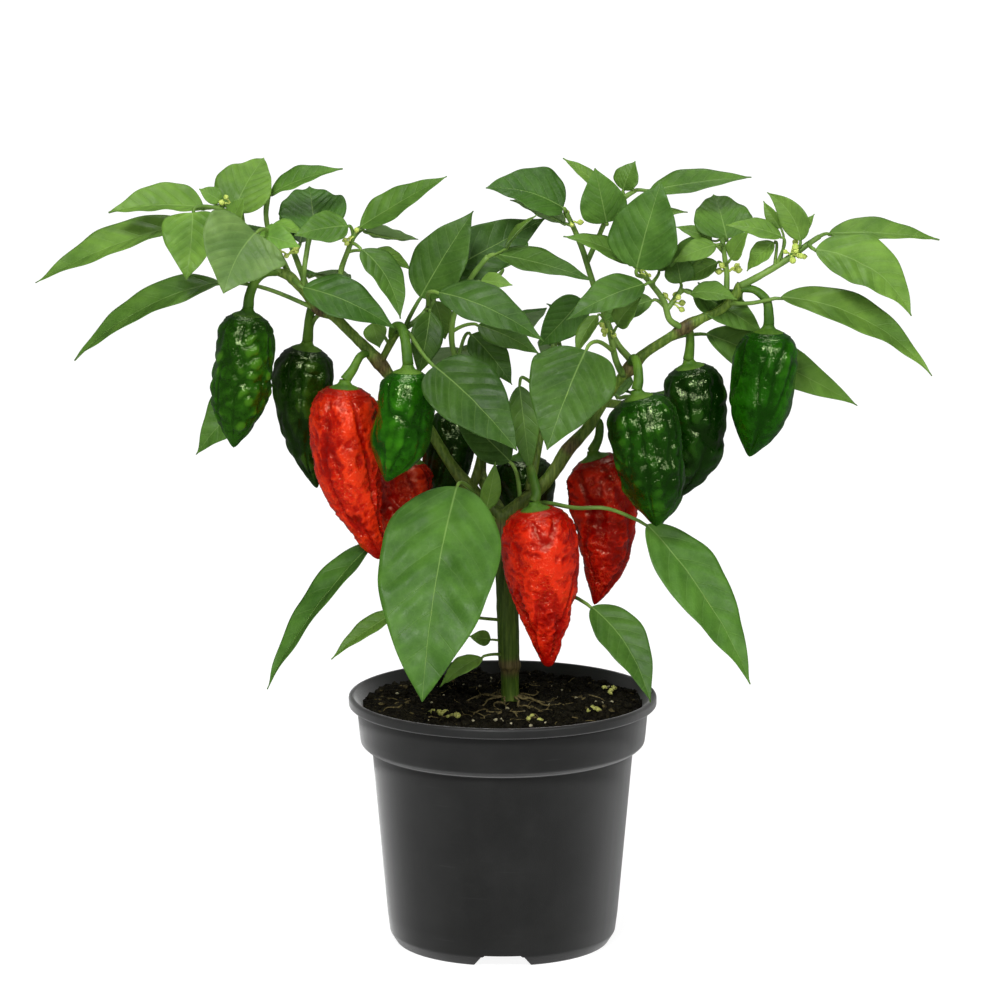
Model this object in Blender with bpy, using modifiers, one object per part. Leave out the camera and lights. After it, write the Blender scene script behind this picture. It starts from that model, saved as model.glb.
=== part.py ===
# Potted chilli pepper plant: a nursery pot with soil, a branched stem, hanging pods and leafy sprays.
# Frame: +Z up, origin on the ground at the middle of the pot's base, front along -Y.
# The plan values below are millimetres and are turned into metres where the meshes are made.
import math

import bmesh
import bpy
from mathutils import Vector

MM = 0.001
GAP = 0.3

POT_RIM_RADIUS = 64.7
POT_HEIGHT = 106.0
POT_BASE_RADIUS = 44.8
POT_SEGMENTS = 36
FOOT_RECESS = 5.0
BOSS_RADIUS = 14.0
NOTCH_WIDTH = 24.0
NOTCH_TAPER = 7.0
DRAIN_HOLE_RADIUS = 4.0
SOIL_LEVEL = 102.2
SOIL_LUMP = 1.1
TRUNK_HOLE_RADIUS = 4.6

BLADE_THICKNESS = 0.8
PETIOLE_RADIUS = 0.85
POD_SIDES = 10
POD_RINGS = 10
CALYX_RADIUS = 6.4

# ---- Woody frame: x, y, z and radius of each joint, from the root outwards -------------------------
LIMBS = {
    "trunk": [(3, 0, 87, 4.2), (3, 0, 101, 3.9), (3, 0, 115, 3.8), (3, 0, 118, 4.6),
              (2.5, 0, 122, 4.5), (2, 0, 140, 4.6), (1, 0, 156, 4.0), (0, 0, 172, 3.9),
              (0, 0, 184, 4.2)],
    "left": [(0, 0, 181, 3.6), (-7, 0, 187, 3.2), (-14, 1, 194, 3.0), (-22, 3, 204, 2.3),
             (-30, 4, 217, 2.2), (-38, 3, 229, 2.1), (-46, 0, 240, 2.2), (-51, -2, 247, 3.0),
             (-57, -3, 254, 2.3), (-63, -3, 260, 2.1), (-70, -3, 267, 2.2), (-76, -3, 270, 2.7),
             (-82, -4, 277, 1.8), (-88, -5, 284, 2.2), (-93, -6, 286, 1.6)],
    "right": [(0, 0, 181, 3.6), (7, 0, 187, 3.2), (14, 0, 193, 3.0), (20.5, 0, 200, 2.7),
              (27, 1, 210, 2.9), (36, 2, 220, 2.3), (42, 1, 230, 2.0), (48.5, 0, 240, 2.0),
              (53.5, 0, 245.5, 3.1), (59, 0, 251, 2.0), (65.5, 0, 255.5, 2.0), (71, 0, 259, 2.1),
              (75.5, 0, 262, 2.9), (83, 0, 266, 2.0), (91, 0, 270, 1.9), (96, 0, 275, 2.1),
              (99, 0, 280, 2.2)],
    "centre_left": [(-13, 1, 193, 2.0), (-9, 5, 206, 1.9), (-7, 8, 222, 1.8), (-13, 10, 240, 1.7)],
    "centre_right": [(11, 0, 193, 2.1), (14, 3, 207, 1.9), (17, 10, 225, 1.8), (20, 20, 245, 1.7)],
    "left_side": [(-51, -2, 247, 1.7), (-47, -5, 255, 1.5), (-44, -7, 261, 1.9)],
    "back_middle": [(0, 2, 182, 2.6), (-9, 14, 198, 2.2), (-5, 38, 222, 2.0), (-6, 42, 246, 1.8)],
    "back_left": [(-38, 3, 229, 1.9), (-46, 19, 227, 1.8), (-57, 36, 222, 1.8)],
    "back_right": [(42, 1, 230, 1.9), (51, 17, 226, 1.8), (61, 34, 221, 1.8)],
}

# ---- Pods: stalk points, seat of the calyx, tip, width, sideways bend, shape, colour ----------------
PODS = {
    "pod_left_outer": ([(-93, -6, 286), (-98, -8, 286), (-102, -9, 283), (-104.5, -10, 277)],
                       (-105.5, -10, 268.5), (-111.5, -12, 213.5), 24.6, 0.0, "blocky", "green"),
    "pod_left_dark": ([(-78, -1, 270), (-79, 8, 270), (-80.5, 13, 264)],
                      (-82, 16, 250), (-78, 18, 190.5), 25.5, 3.0, "tapered", "dark"),
    "pod_left_red": ([(-55, -3, 252), (-59, -7, 251), (-62, -9, 246)],
                     (-65.5, -10, 238), (-50.5, -13, 166.5), 29.0, 5.0, "long", "red"),
    "pod_left_red_back": ([(-46, 0, 240), (-43, 8, 236), (-40, 12, 222)],
                          (-39.5, 12, 203), (-49.5, 8, 168), 22.0, -2.0, "blocky", "red"),
    "pod_left_bright": ([(-46, -6, 259), (-45, -13, 264), (-42, -22, 266), (-40, -27.5, 261)],
                        (-39, -30, 248), (-48, -32, 203), 24.8, -2.0, "blocky", "green"),
    "pod_behind_left": ([(-8, 8, 222), (-12, 17, 230), (-16, 24, 230)],
                        (-19, 28, 221), (-27, 29, 180), 21.5, 0.0, "blocky", "dark"),
    "pod_behind_fork": ([(14, 3, 208), (12, 13, 214), (10, 21, 212)],
                        (9, 24, 202), (10, 27, 152), 26.5, 0.0, "tapered", "dark"),
    "pod_front_red": ([(12, -1, 197), (11.5, -8, 204), (12.5, -16, 202), (14, -20, 196)],
                      (13.5, -21, 189), (19.0, -22, 122.5), 30.5, -1.0, "long", "red"),
    "pod_right_red": ([(35, 2, 224), (40, 5, 221), (40, 7, 214)],
                      (38.5, 8, 205), (38.5, 6, 143), 28.5, -5.0, "tapered", "red"),
    "pod_right_green": ([(53, 0, 246), (54, -11, 251), (55.5, -19, 250), (56, -23, 244)],
                        (56, -24, 236.5), (63.5, -26, 183), 29.5, -1.5, "blocky", "green"),
    "pod_right_dark": ([(75, 0, 262), (77.5, 3, 260), (78, 5, 254)],
                       (78, 6, 244), (73, 7, 188.5), 26.5, -4.0, "blocky", "dark"),
    "pod_right_outer": ([(97.5, 0, 278), (104, -2, 278), (109, -4, 274), (110, -5, 268)],
                        (110, -5, 260.5), (102.5, -6, 208.5), 26.3, -1.5, "blocky", "green"),
    "pod_back_left": ([(-56, 35, 222), (-58, 42, 220), (-58, 49, 215)],
                      (-58, 51, 206), (-54, 54, 164), 23.0, 1.5, "blocky", "red"),
    "pod_back_right": ([(60, 33, 221), (63, 42, 222), (64, 49, 218)],
                       (64, 51, 209), (66, 55, 166), 23.0, -1.5, "blocky", "green"),
    "pod_back_low": ([(-6, 20, 203), (3, 44, 207), (10, 54, 203)],
                     (11, 59, 194), (13, 62, 150), 22.0, 1.5, "tapered", "green"),
}

# Width of a pod along its length, as shares of its largest radius at shares of its length.
POD_SHAPES = {
    "blocky": [(0.0, 0.52), (0.03, 0.74), (0.09, 0.92), (0.22, 1.0), (0.40, 0.97), (0.56, 0.98),
               (0.70, 0.88), (0.83, 0.60), (0.93, 0.28), (1.0, 0.07)],
    "tapered": [(0.0, 0.52), (0.03, 0.74), (0.09, 0.93), (0.20, 1.0), (0.36, 0.94), (0.53, 0.84),
                (0.68, 0.68), (0.82, 0.44), (0.93, 0.20), (1.0, 0.06)],
    "long": [(0.0, 0.52), (0.03, 0.76), (0.09, 0.94), (0.18, 1.0), (0.36, 0.97), (0.52, 0.86),
             (0.68, 0.68), (0.79, 0.47), (0.90, 0.31), (1.0, 0.13)],
}

# ---- Twigs of the leafy sprays: node, then the joints; t runs 0 to 1 along each --------------------
TWIGS = {
    "A": ("spray_left_tip", [(-92, -6, 286, 1.4), (-99, -7, 294, 1.2), (-104, -8, 303, 1.1),
                             (-110, -8, 309, 1.1), (-113, -8, 314, 1.2)]),
    "B": ("spray_left_upper", [(-88, -5, 284, 1.4), (-91, 0, 290, 1.2), (-96, 4, 299, 1.1),
                               (-98, 5, 308, 1.1), (-97, 5, 317, 1.2)]),
    "C": ("spray_left_inner", [(-83, -4, 278, 1.3), (-82, 4, 288, 1.1), (-80, 8, 300, 1.2)]),
    "D": ("spray_left_mid", [(-69, -3, 266, 1.3), (-67, 1, 276, 1.1), (-67, 3, 285, 1.2),
                             (-64, 2, 294, 1.1), (-61, 1, 302, 1.2)]),
    "F": ("spray_centre_left", [(-44, -7, 261, 1.4), (-38, -5, 264, 1.2), (-33, -4, 268, 1.2),
                                (-29, -3, 274, 1.2), (-28, -1, 281, 1.1)]),
    "H": ("spray_centre", [(-12, 10, 238, 1.5), (-20, 4, 250, 1.3), (-21, -2, 263, 1.2),
                           (-18, -5, 274, 1.1), (-13, -7, 284, 1.1), (-6, -8, 293, 1.1)]),
    "K": ("spray_right_low", [(50, -1, 242, 1.6), (47, -7, 249, 1.4), (45, -9, 258, 1.3),
                              (43, -9, 266, 1.2)]),
    "L": ("spray_right_inner", [(74, -1, 262, 1.5), (69, -4, 266, 1.3), (67, -4, 273, 1.3),
                                (63, -5, 279, 1.2), (58, -6, 285, 1.1)]),
    "M": ("spray_right_inner", [(68, -4, 270, 1.2), (71, -3, 274, 1.1), (74, -2, 278, 1.2)]),
    "N": ("spray_right_mid", [(92.5, 1, 271.5, 1.4), (93, 3, 283, 1.2), (92, 3, 291, 1.1),
                              (91, 3, 298, 1.1)]),
    "O": ("spray_right_tip", [(98.5, -1, 279.5, 1.6), (104, -2, 282.5, 1.5), (110, -2, 286, 1.4),
                              (118, -2, 291, 1.4), (126, -2, 297, 1.2), (131, 0, 300, 1.1)]),
    "T": ("spray_top", [(54, 2, 247, 1.6), (47, 7, 255, 1.4), (42, 9, 267, 1.3), (37, 8, 281, 1.3),
                        (33, 6, 294, 1.2), (29, 4, 304, 1.1), (26, 3, 310, 1.1)]),
    "U": ("spray_top", [(35, 7, 288, 1.2), (39, 7, 297, 1.1), (43, 6, 306, 1.1), (49, 7, 314, 1.1),
                        (55, 9, 318, 1.0)]),
    "V": ("spray_back_left", [(-56, 35, 222, 1.7), (-62, 44, 220, 1.5), (-68, 54, 217, 1.3)]),
    "W": ("spray_back_middle", [(-6, 42, 244, 1.8), (-6, 46, 255, 1.5), (-4, 50, 266, 1.3),
                                (-2, 52, 274, 1.2)]),
    "X": ("spray_back_right", [(60, 33, 221, 1.7), (57, 43, 224, 1.5), (54, 52, 223, 1.3)]),
    "Y": ("spray_back_far_left", [(-79, -3, 273, 1.5), (-83, 12, 281, 1.3), (-88, 26, 291, 1.2)]),
    "Z": ("spray_back_far_right", [(97, 1, 276, 1.5), (98, 9, 278, 1.4), (99, 18, 272, 1.3),
                                   (99, 28, 258, 1.2)]),
    "R": ("spray_back_low", [(20, 19, 243, 1.7), (22, 28, 252, 1.4), (22, 36, 260, 1.3)]),
}

# Rise and fall of a leaf outline: how fast it widens from its base and narrows to its tip.
OUTLINES = {"broad": (0.52, 1.10), "slim": (0.70, 1.25), "ovate": (0.62, 1.02)}

# ---- Leaves: node or twig, place on it, blade base, blade tip, width, face normal,
#      fold in degrees, arch, sideways sweep, outline ------------------------------------------------
LEAVES = [
    # outer left
    ("A", 1.0, (-123, -10, 313.5), (-162, -14, 312), 20, (0, -0.6, 0.8), 30, 3, 0, "slim"),
    ("A", 0.8, (-131, -2, 306), (-193, -8, 282), 21, (-0.25, -0.5, 0.83), 18, 3, 0, "slim"),
    ("A", 0.9, (-127, -20, 313), (-129, -38, 288), 25, (-0.1, -0.85, 0.5), 12, 3, -1, "broad"),
    ("A", 0.9, (-111, -4, 311), (-99, 12, 331), 25, (-0.2, -0.9, 0.35), 10, 3, 0, "broad"),
    ("A", 0.75, (-111, -13, 308), (-106, -15, 319), 9, (-0.2, -0.8, 0.5), 18, 1, 0, "slim"),
    ("A", 0.9, (-116, -9, 316), (-125, -8, 321), 8, (-0.3, -0.7, 0.6), 15, 1, 0, "slim"),
    ("A", 0.7, (-106, -2, 313), (-97, 2, 318), 8, (0.2, -0.7, 0.6), 15, 1, 0, "slim"),
    # upper left
    ("B", 1.0, (-96, 5, 317), (-66, 2, 328), 13, (-0.2, -0.55, 0.8), 22, 2, 0, "slim"),
    ("B", 0.5, (-95, 1, 305), (-82, -3, 301), 8, (0, -0.5, 0.85), 15, 1, 0, "slim"),
    ("B", 0.35, (-101, -30, 306), (-113, -54, 285), 38, (0.22, -0.82, 0.5), 14, 3, 2, "broad"),
    ("B", 0.3, (-100, -16, 303), (-83, -22, 299), 12, (0.1, -0.85, 0.5), 12, 2, 0, "slim"),
    ("C", 1.0, (-78, 11, 301), (-81, 36, 316), 29, (0, -0.75, 0.65), 8, 2, 0, "broad"),
    # left, behind the hanging pods
    ("D", 1.0, (-59, 0, 304), (-23, -6, 326), 15, (0.25, -0.6, 0.75), 15, 1, 0, "slim"),
    ("D", 0.95, (-64, -3, 305), (-86, -11, 302), 15, (0, -0.8, 0.5), 10, 2, 0, "slim"),
    ("D", 0.9, (-57, 4, 302), (-35, 7, 298), 13, (0.1, 0.55, 0.8), 12, -1, 0, "slim"),
    ("D", 0.75, (-54, 9, 292), (-38, 11, 284), 9, (0.2, -0.6, 0.75), 12, 2, 0, "slim"),
    ("D", 0.85, (-58, -9, 296), (-42, -27, 270), 16, (0.45, -0.75, 0.45), 12, 3, -2, "slim"),
    # middle left
    ("F", 0.15, (-34, -9, 276), (-12, -9, 312), 24, (-0.3, -0.93, 0.2), 10, 2, 0, "slim"),
    ("F", 1.0, (-26, 4, 283), (18, 18, 305), 23, (0.25, -0.85, 0.45), 10, 2, 0, "slim"),
    ("F", 0.6, (-26, -27, 281), (17, -41, 263), 20, (0.15, -0.75, 0.65), 12, 5, 0, "slim"),
    ("F", 0.55, (-30, -9, 270), (-35, -13, 244), 14, (0.2, -0.93, 0.25), 12, 3, 0, "slim"),
    ("F", 0.8, (-28, 6, 272), (-24, 11, 255), 11, (0.1, -0.9, 0.3), 12, 2, 0, "slim"),
    ("F", 0.1, (-28, -36, 252), (6, -58, 221), 31, (0.2, -0.88, 0.45), 8, 4, 0, "broad"),
    # middle
    ("H", 1.0, (-3, -9, 294), (38, -19, 284), 14, (0.1, -0.6, 0.8), 12, 2, 0, "slim"),
    ("H", 0.97, (1, -11, 297), (14, -19, 312), 7, (-0.85, -0.15, 0.5), 20, 1, 0, "slim"),
    ("H", 0.42, (-10, -6, 264), (15, -14, 253), 14, (0.1, -0.75, 0.6), 12, 2, 0, "slim"),
    ("H", 0.75, (-9, -16, 284), (4, -21, 283), 8, (0.1, -0.8, 0.5), 12, 1, 0, "slim"),
    ("T", 0.35, (33, 11, 272), (15, 12, 252), 17, (0.2, -0.93, 0.2), 10, 2, 0, "broad"),
    ("H", 0.2, (-13, 0, 259), (4, -7, 239), 16, (0, -0.7, 0.7), 12, 2, 0, "slim"),
    # right of the middle, low
    ("K", 0.5, (34, -33, 258), (18, -57, 221), 36, (-0.1, -0.9, 0.4), 8, 4, 0, "broad"),
    ("K", 0.9, (39, -12, 269), (30, -18, 253), 8, (-0.5, -0.8, 0.2), 12, 2, 0, "slim"),
    ("K", 0.7, (47, -20, 266), (57, -26, 279), 11, (-0.4, -0.85, 0.3), 12, 2, 0, "slim"),
    # right of the middle, upper
    ("L", 0.9, (55, -20, 290), (65, -20, 326), 30, (-0.25, -0.95, 0.1), 8, 2, 0, "broad"),
    ("L", 1.0, (53, -9, 290), (25, -6, 301), 12, (-0.1, -0.5, 0.85), 15, 3, 0, "slim"),
    ("L", 0.75, (58, -24, 284), (26, -36, 271), 17, (-0.15, -0.75, 0.65), 12, 3, 0, "slim"),
    ("L", 0.4, (62, -3, 274), (39, -1, 263), 12, (-0.2, -0.75, 0.6), 12, 2, 0, "slim"),
    ("L", 0.8, (65, 3, 285), (69, 8, 304), 12, (0.2, -0.9, 0.2), 10, 2, 0, "slim"),
    ("M", 1.0, (78, -4, 277), (97, -8, 275), 12, (0.1, -0.6, 0.8), 12, 2, 0, "slim"),
    ("M", 0.8, (79, 5, 276), (109, 6, 258), 17, (0.2, -0.8, 0.55), 10, 2, 0, "slim"),
    ("M", 0.9, (74, 3, 280), (71, 6, 293), 13, (0.1, -0.9, 0.4), 10, 1, 0, "broad"),
    # right
    ("N", 1.0, (93, 7, 298), (88, 26, 314), 25, (0.1, -0.8, 0.6), 8, 2, 0, "broad"),
    ("N", 0.6, (94, -8, 292), (101, -16, 305), 9, (-0.4, -0.85, 0.3), 12, 1, 0, "slim"),
    ("N", 0.9, (88, -3, 297), (70, -8, 290), 10, (-0.1, -0.8, 0.55), 12, 2, 0, "slim"),
    ("N", 0.5, (89, 5, 288.5), (75, 6, 280), 9, (-0.1, -0.8, 0.5), 12, 1, 0, "slim"),
    ("N", 1.0, (87, 10, 297), (72, 14, 302), 7, (0, -0.7, 0.7), 12, 1, 0, "slim"),
    ("N", 0.8, (86, 9, 295), (68, 14, 285), 13, (-0.1, -0.9, 0.4), 12, 2, 0, "slim"),
    # outer right
    ("O", 0.6, (123, -5, 299), (109, -4, 319), 12, (-0.3, -0.85, 0.4), 16, 2, 3, "slim"),
    ("O", 0.5, (115, 3, 303), (108, 6, 314), 6, (-0.5, -0.8, 0.3), 15, 1, 0, "slim"),
    ("O", 0.65, (123, 1, 301), (129, 3, 309), 5, (-0.3, -0.8, 0.5), 15, 0, 0, "slim"),
    ("O", 0.45, (115, -6, 301), (92, -8, 306), 10, (0, -0.7, 0.7), 12, 2, 0, "slim"),
    ("O", 0.42, (112, -2, 298), (101, -3, 286), 10, (-0.5, -0.7, 0.4), 12, 1, 0, "slim"),
    ("O", 1.0, (135, 2, 301), (181, 4, 298), 14, (0, -0.55, 0.83), 22, 2, 0, "slim"),
    ("O", 0.85, (129, -9, 296), (168, -25, 271), 26, (0.35, -0.75, 0.55), 10, 4, -5, "slim"),
    # top
    ("T", 1.0, (25, 0, 312), (-7, -4, 321), 24, (0, -0.7, 0.7), 22, 3, 1, "broad"),
    ("T", 0.9, (26, 4, 305), (3, 3, 315), 14, (0, 0.6, 0.8), 12, 1, 0, "slim"),
    ("U", 0.5, (43, -1, 306), (38, -3, 329), 20, (0, -0.95, 0.2), 10, 2, 0, "broad"),
    ("U", 0.7, (42, 9, 318), (25, 12, 331), 7, (-0.1, -0.6, 0.8), 12, 1, 0, "slim"),
    ("U", 0.85, (50, 10, 318), (55, 11, 330), 12, (-0.3, -0.8, 0.4), 12, 1, 0, "slim"),
    ("U", 1.0, (61, 9, 318), (103, 6, 324), 14, (0, -0.6, 0.8), 15, 1, 0, "slim"),
    ("U", 0.6, (56, 13, 307), (77, 15, 308), 6, (0, -0.7, 0.7), 12, 1, 0, "slim"),
    # back
    ("Y", 1.0, (-93, 34, 294), (-104, 78, 284), 24, (-0.1, 0.4, 0.9), 10, 6, 0, "slim"),
    ("Y", 0.9, (-85, 36, 292), (-83, 76, 296), 22, (0.1, -0.3, 0.95), 10, 5, 0, "slim"),
    ("Y", 0.5, (-81, 24, 280), (-66, 64, 262), 20, (0.1, 0.4, 0.9), 10, 5, 0, "slim"),
    ("V", 1.0, (-73, 62, 214), (-84, 100, 194), 24, (-0.3, 0.5, 0.8), 10, 6, 0, "slim"),
    ("V", 0.8, (-60, 60, 216), (-44, 102, 204), 23, (0.1, 0.5, 0.85), 10, 6, 0, "slim"),
    ("V", 0.4, (-71, 49, 214), (-86, 66, 198), 18, (-0.6, 0.2, 0.75), 10, 4, 0, "slim"),
    ("W", 0.8, (-14, 58, 271), (-32, 98, 272), 23, (-0.2, 0.1, 0.97), 10, 6, 0, "slim"),
    ("W", 1.0, (0, 62, 277), (-2, 106, 276), 24, (0, 0.1, 1), 10, 6, 0, "slim"),
    ("W", 0.6, (6, 56, 258), (10, 100, 240), 22, (0.1, 0.4, 0.9), 10, 6, 0, "slim"),
    ("W", 0.3, (-16, 52, 244), (-24, 94, 220), 24, (-0.2, 0.5, 0.85), 10, 6, 0, "slim"),
    ("X", 1.0, (49, 60, 222), (38, 100, 216), 22, (-0.1, 0.3, 0.95), 10, 6, 0, "slim"),
    ("X", 0.9, (59, 60, 221), (70, 100, 204), 23, (0.1, 0.5, 0.85), 10, 6, 0, "slim"),
    ("X", 0.5, (68, 52, 218), (84, 90, 198), 20, (0.3, 0.5, 0.8), 10, 6, 0, "slim"),
    ("Z", 1.0, (105, 37, 248), (108, 80, 234), 23, (0.1, -0.3, 0.95), 10, 5, 0, "slim"),
    ("Z", 0.8, (111, 30, 246), (126, 66, 226), 20, (0.2, 0.3, 0.93), 10, 6, 0, "slim"),
    ("Z", 0.5, (92, 22, 268), (88, 58, 262), 20, (0.1, 0.5, 0.85), 10, 6, 0, "slim"),
    ("R", 1.0, (27, 44, 258), (32, 90, 246), 22, (0.1, 0.3, 0.95), 10, 6, 0, "slim"),
    ("R", 0.7, (25, 38, 245), (22, 82, 224), 22, (0.2, 0.5, 0.85), 10, 6, 0, "slim"),
    # single leaves straight from the woody frame
    ("leaf_left_long", ("left", 0.78), (-117, -6, 282), (-177, -12, 250), 19, (-0.3, -0.5, 0.8),
     14, 7, 0, "slim"),
    ("leaf_left_dark", ("left", 0.95), (-82, -14, 281), (-44, -22, 265), 20, (0.2, -0.75, 0.6),
     10, 4, 0, "slim"),
    ("leaf_left_back", ("left", 0.82), (-99, 28, 236), (-129, 22, 204), 22, (-0.3, -0.85, 0.4),
     10, 3, 0, "slim"),
    ("leaf_left_small", ("left_side", 0.6), (-54, -2, 264), (-51, -4, 254), 10, (0, -0.9, 0.3),
     10, 1, 0, "slim"),
    ("leaf_fork_left", ("right", 0.07), (3, -3, 206), (-23, -4, 230), 18, (0.3, -0.9, 0.3),
     10, 2, 0, "slim"),
    ("leaf_fork_right", ("centre_right", 0.75), (7, 2, 237), (11.5, -5, 201), 13,
     (0, -0.93, 0.2), 10, 2, 0, "slim"),
    ("leaf_fork_small", ("trunk", 0.95), (-7, -7, 186), (-3, -9, 207), 9, (0.3, -0.9, 0.1),
     12, 1, 0, "slim"),
    ("leaf_front_large", ("left", 0.1), (-19, -12, 197), (-33, -62, 117), 50, (-0.12, -0.93, 0.35),
     6, 8, 1, "ovate"),
    ("leaf_low_left", ("trunk", 0.72), (-54, -5, 172), (-98, -30, 115), 19, (-0.62, -0.5, 0.55),
     20, 4, 0, "slim"),
    ("leaf_low_inner", ("trunk", 0.52), (-43, -20, 146), (-71, -32, 128), 10, (-0.3, -0.6, 0.7),
     18, 2, 0, "slim"),
    ("leaf_soil_left", ("trunk", 0.36), (-9, -10, 124), (-26, -26, 115), 10, (-0.3, -0.7, 0.6),
     12, 2, 0, "slim"),
    ("leaf_soil_small", ("trunk", 0.42), (-5, -3, 130), (-14, -6, 132), 7, (0, -0.9, 0.4),
     12, 0, 0, "slim"),
    ("leaf_right_low", ("trunk", 0.56), (37, -17, 147), (61, -42, 112), 20, (0.2, -0.8, 0.5),
     15, 3, -3, "slim"),
    ("leaf_right_large", ("right", 0.05), (60, -12, 181), (103, -30, 117), 27, (0.35, -0.75, 0.5),
     8, 4, -2, "slim"),
    ("leaf_right_long", ("right", 0.93), (115, -8, 276), (177, -20, 245), 19, (0.3, -0.65, 0.7),
     12, 6, -5, "slim"),
    ("leaf_right_back", ("right", 0.52), (85, 14, 257), (149, 22, 225), 21, (0.3, -0.85, 0.45),
     10, 4, 0, "slim"),
    ("leaf_back_low_left", ("trunk", 0.8), (-14, 18, 168), (-34, 64, 138), 24, (-0.3, 0.55, 0.75),
     10, 5, 0, "slim"),
    ("leaf_back_low_right", ("trunk", 0.6), (13, 14, 148), (19, 56, 128), 18, (0.1, 0.5, 0.85),
     10, 5, 0, "slim"),
]

# Extra points a leaf stalk passes on its way, by the tip x and z of the leaf it belongs to.
STALK_WAYS = {
    "leaf_left_long": [(-92, -5, 277), (-105, -6, 281)],
    "leaf_left_back": [(-79, 14, 262), (-84, 34, 247)],
    "leaf_fork_right": [(12, 10, 237), (8, 5, 240)],
    "leaf_low_left": [(-14, -3, 164), (-36, -4, 171)],
    "leaf_low_inner": [(-14, -8, 141), (-28, -15, 147)],
    "leaf_right_low": [(14, 0, 147), (27, -7, 150)],
    "leaf_right_large": [(17, -1, 188), (30, -12, 188), (44, -14, 188)],
    "leaf_right_long": [(103, -5, 273)],
    "leaf_right_back": [(61, 8, 250), (73, 11, 256)],
}

GREEN_POD = ((0.045, 0.16, 0.012), 0.25)
DARK_POD = ((0.012, 0.065, 0.010), 0.25)
RED_POD = ((0.60, 0.025, 0.010), 0.28)
LEAF_GREEN = ((0.070, 0.19, 0.035), 0.5)
STEM_GREEN = ((0.11, 0.14, 0.035), 0.55)
POT_BLACK = ((0.025, 0.026, 0.028), 0.4)
SOIL_BROWN = ((0.016, 0.011, 0.007), 0.95)


def material(name, look):
    """A plain Principled material."""
    mat = bpy.data.materials.new(name)
    mat.use_nodes = True
    shader = mat.node_tree.nodes["Principled BSDF"]
    shader.inputs["Base Color"].default_value = look[0] + (1.0,)
    shader.inputs["Roughness"].default_value = look[1]
    shader.inputs["Metallic"].default_value = 0.0
    return mat


def mesh_object(name, bm, collection):
    """Turn a bmesh measured in millimetres into an object in metres."""
    bmesh.ops.scale(bm, vec=(MM, MM, MM), verts=bm.verts)
    bmesh.ops.recalc_face_normals(bm, faces=bm.faces)
    mesh = bpy.data.meshes.new(name)
    bm.to_mesh(mesh)
    bm.free()
    obj = bpy.data.objects.new(name, mesh)
    collection.objects.link(obj)
    return obj


def apply_modifiers(obj):
    """Replace an object's mesh with its evaluated mesh."""
    bpy.context.view_layer.update()
    graph = bpy.context.evaluated_depsgraph_get()
    mesh = bpy.data.meshes.new_from_object(obj.evaluated_get(graph))
    old = obj.data
    obj.modifiers.clear()
    obj.data = mesh
    bpy.data.meshes.remove(old)


def smooth(obj, degrees=40):
    """Shade round with sharp edges kept."""
    obj.data.shade_smooth()
    obj.data.set_sharp_from_angle(angle=math.radians(degrees))


def curve_tube(name, points, resolution, collection, grow=0.0):
    """A closed tube along x, y, z, radius points in millimetres, swollen all round by grow."""
    if grow:
        spots = [Vector(p[:3]) for p in points]
        head = spots[0] + (spots[0] - spots[1]).normalized() * grow
        tail = spots[-1] + (spots[-1] - spots[-2]).normalized() * grow
        points = ([tuple(head) + (points[0][3],)] + list(points[1:-1])
                  + [tuple(tail) + (points[-1][3],)])
    curve = bpy.data.curves.new(name, "CURVE")
    curve.dimensions = "3D"
    curve.bevel_depth = MM
    curve.bevel_resolution = resolution
    curve.use_fill_caps = True
    spline = curve.splines.new("POLY")
    spline.points.add(len(points) - 1)
    for point, (x, y, z, radius) in zip(spline.points, points):
        point.co = (x * MM, y * MM, z * MM, 1.0)
        point.radius = radius + grow
    holder = bpy.data.objects.new(name + "_curve", curve)
    collection.objects.link(holder)
    bpy.context.view_layer.update()
    graph = bpy.context.evaluated_depsgraph_get()
    mesh = bpy.data.meshes.new_from_object(holder.evaluated_get(graph))
    bm = bmesh.new()
    bm.from_mesh(mesh)
    bmesh.ops.remove_doubles(bm, verts=bm.verts, dist=0.00001)
    bmesh.ops.recalc_face_normals(bm, faces=bm.faces)
    bm.to_mesh(mesh)
    bm.free()
    obj = bpy.data.objects.new(name, mesh)
    collection.objects.link(obj)
    bpy.data.objects.remove(holder)
    return obj


def along(points, t):
    """The place at share t of the length of a list of joints."""
    spots = [Vector(p[:3]) for p in points]
    lengths = [(b - a).length for a, b in zip(spots, spots[1:])]
    left = t * sum(lengths)
    for a, b, length in zip(spots, spots[1:], lengths):
        if left <= length:
            return a.lerp(b, left / length)
        left -= length
    return spots[-1]


def spline_points(spots, per_span):
    """A smooth path through the given places."""
    ends = [spots[0] * 2 - spots[1]] + spots + [spots[-1] * 2 - spots[-2]]
    path = []
    for i in range(1, len(ends) - 2):
        a, b, c, d = ends[i - 1:i + 3]
        for k in range(per_span):
            u = k / per_span
            path.append(0.5 * (2 * b + (c - a) * u + (2 * a - 5 * b + 4 * c - d) * u * u
                               + (3 * b - 3 * c + d - a) * u ** 3))
    path.append(ends[-2])
    return path


def half_width(s, outline):
    """Half width of a blade at share s of its length, as a share of the largest."""
    rise, fall = OUTLINES[outline]
    peak = rise / (rise + fall)
    top = peak ** rise * (1 - peak) ** fall
    return max(s, 0.0) ** rise * max(1 - s, 0.0) ** fall / top


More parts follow.
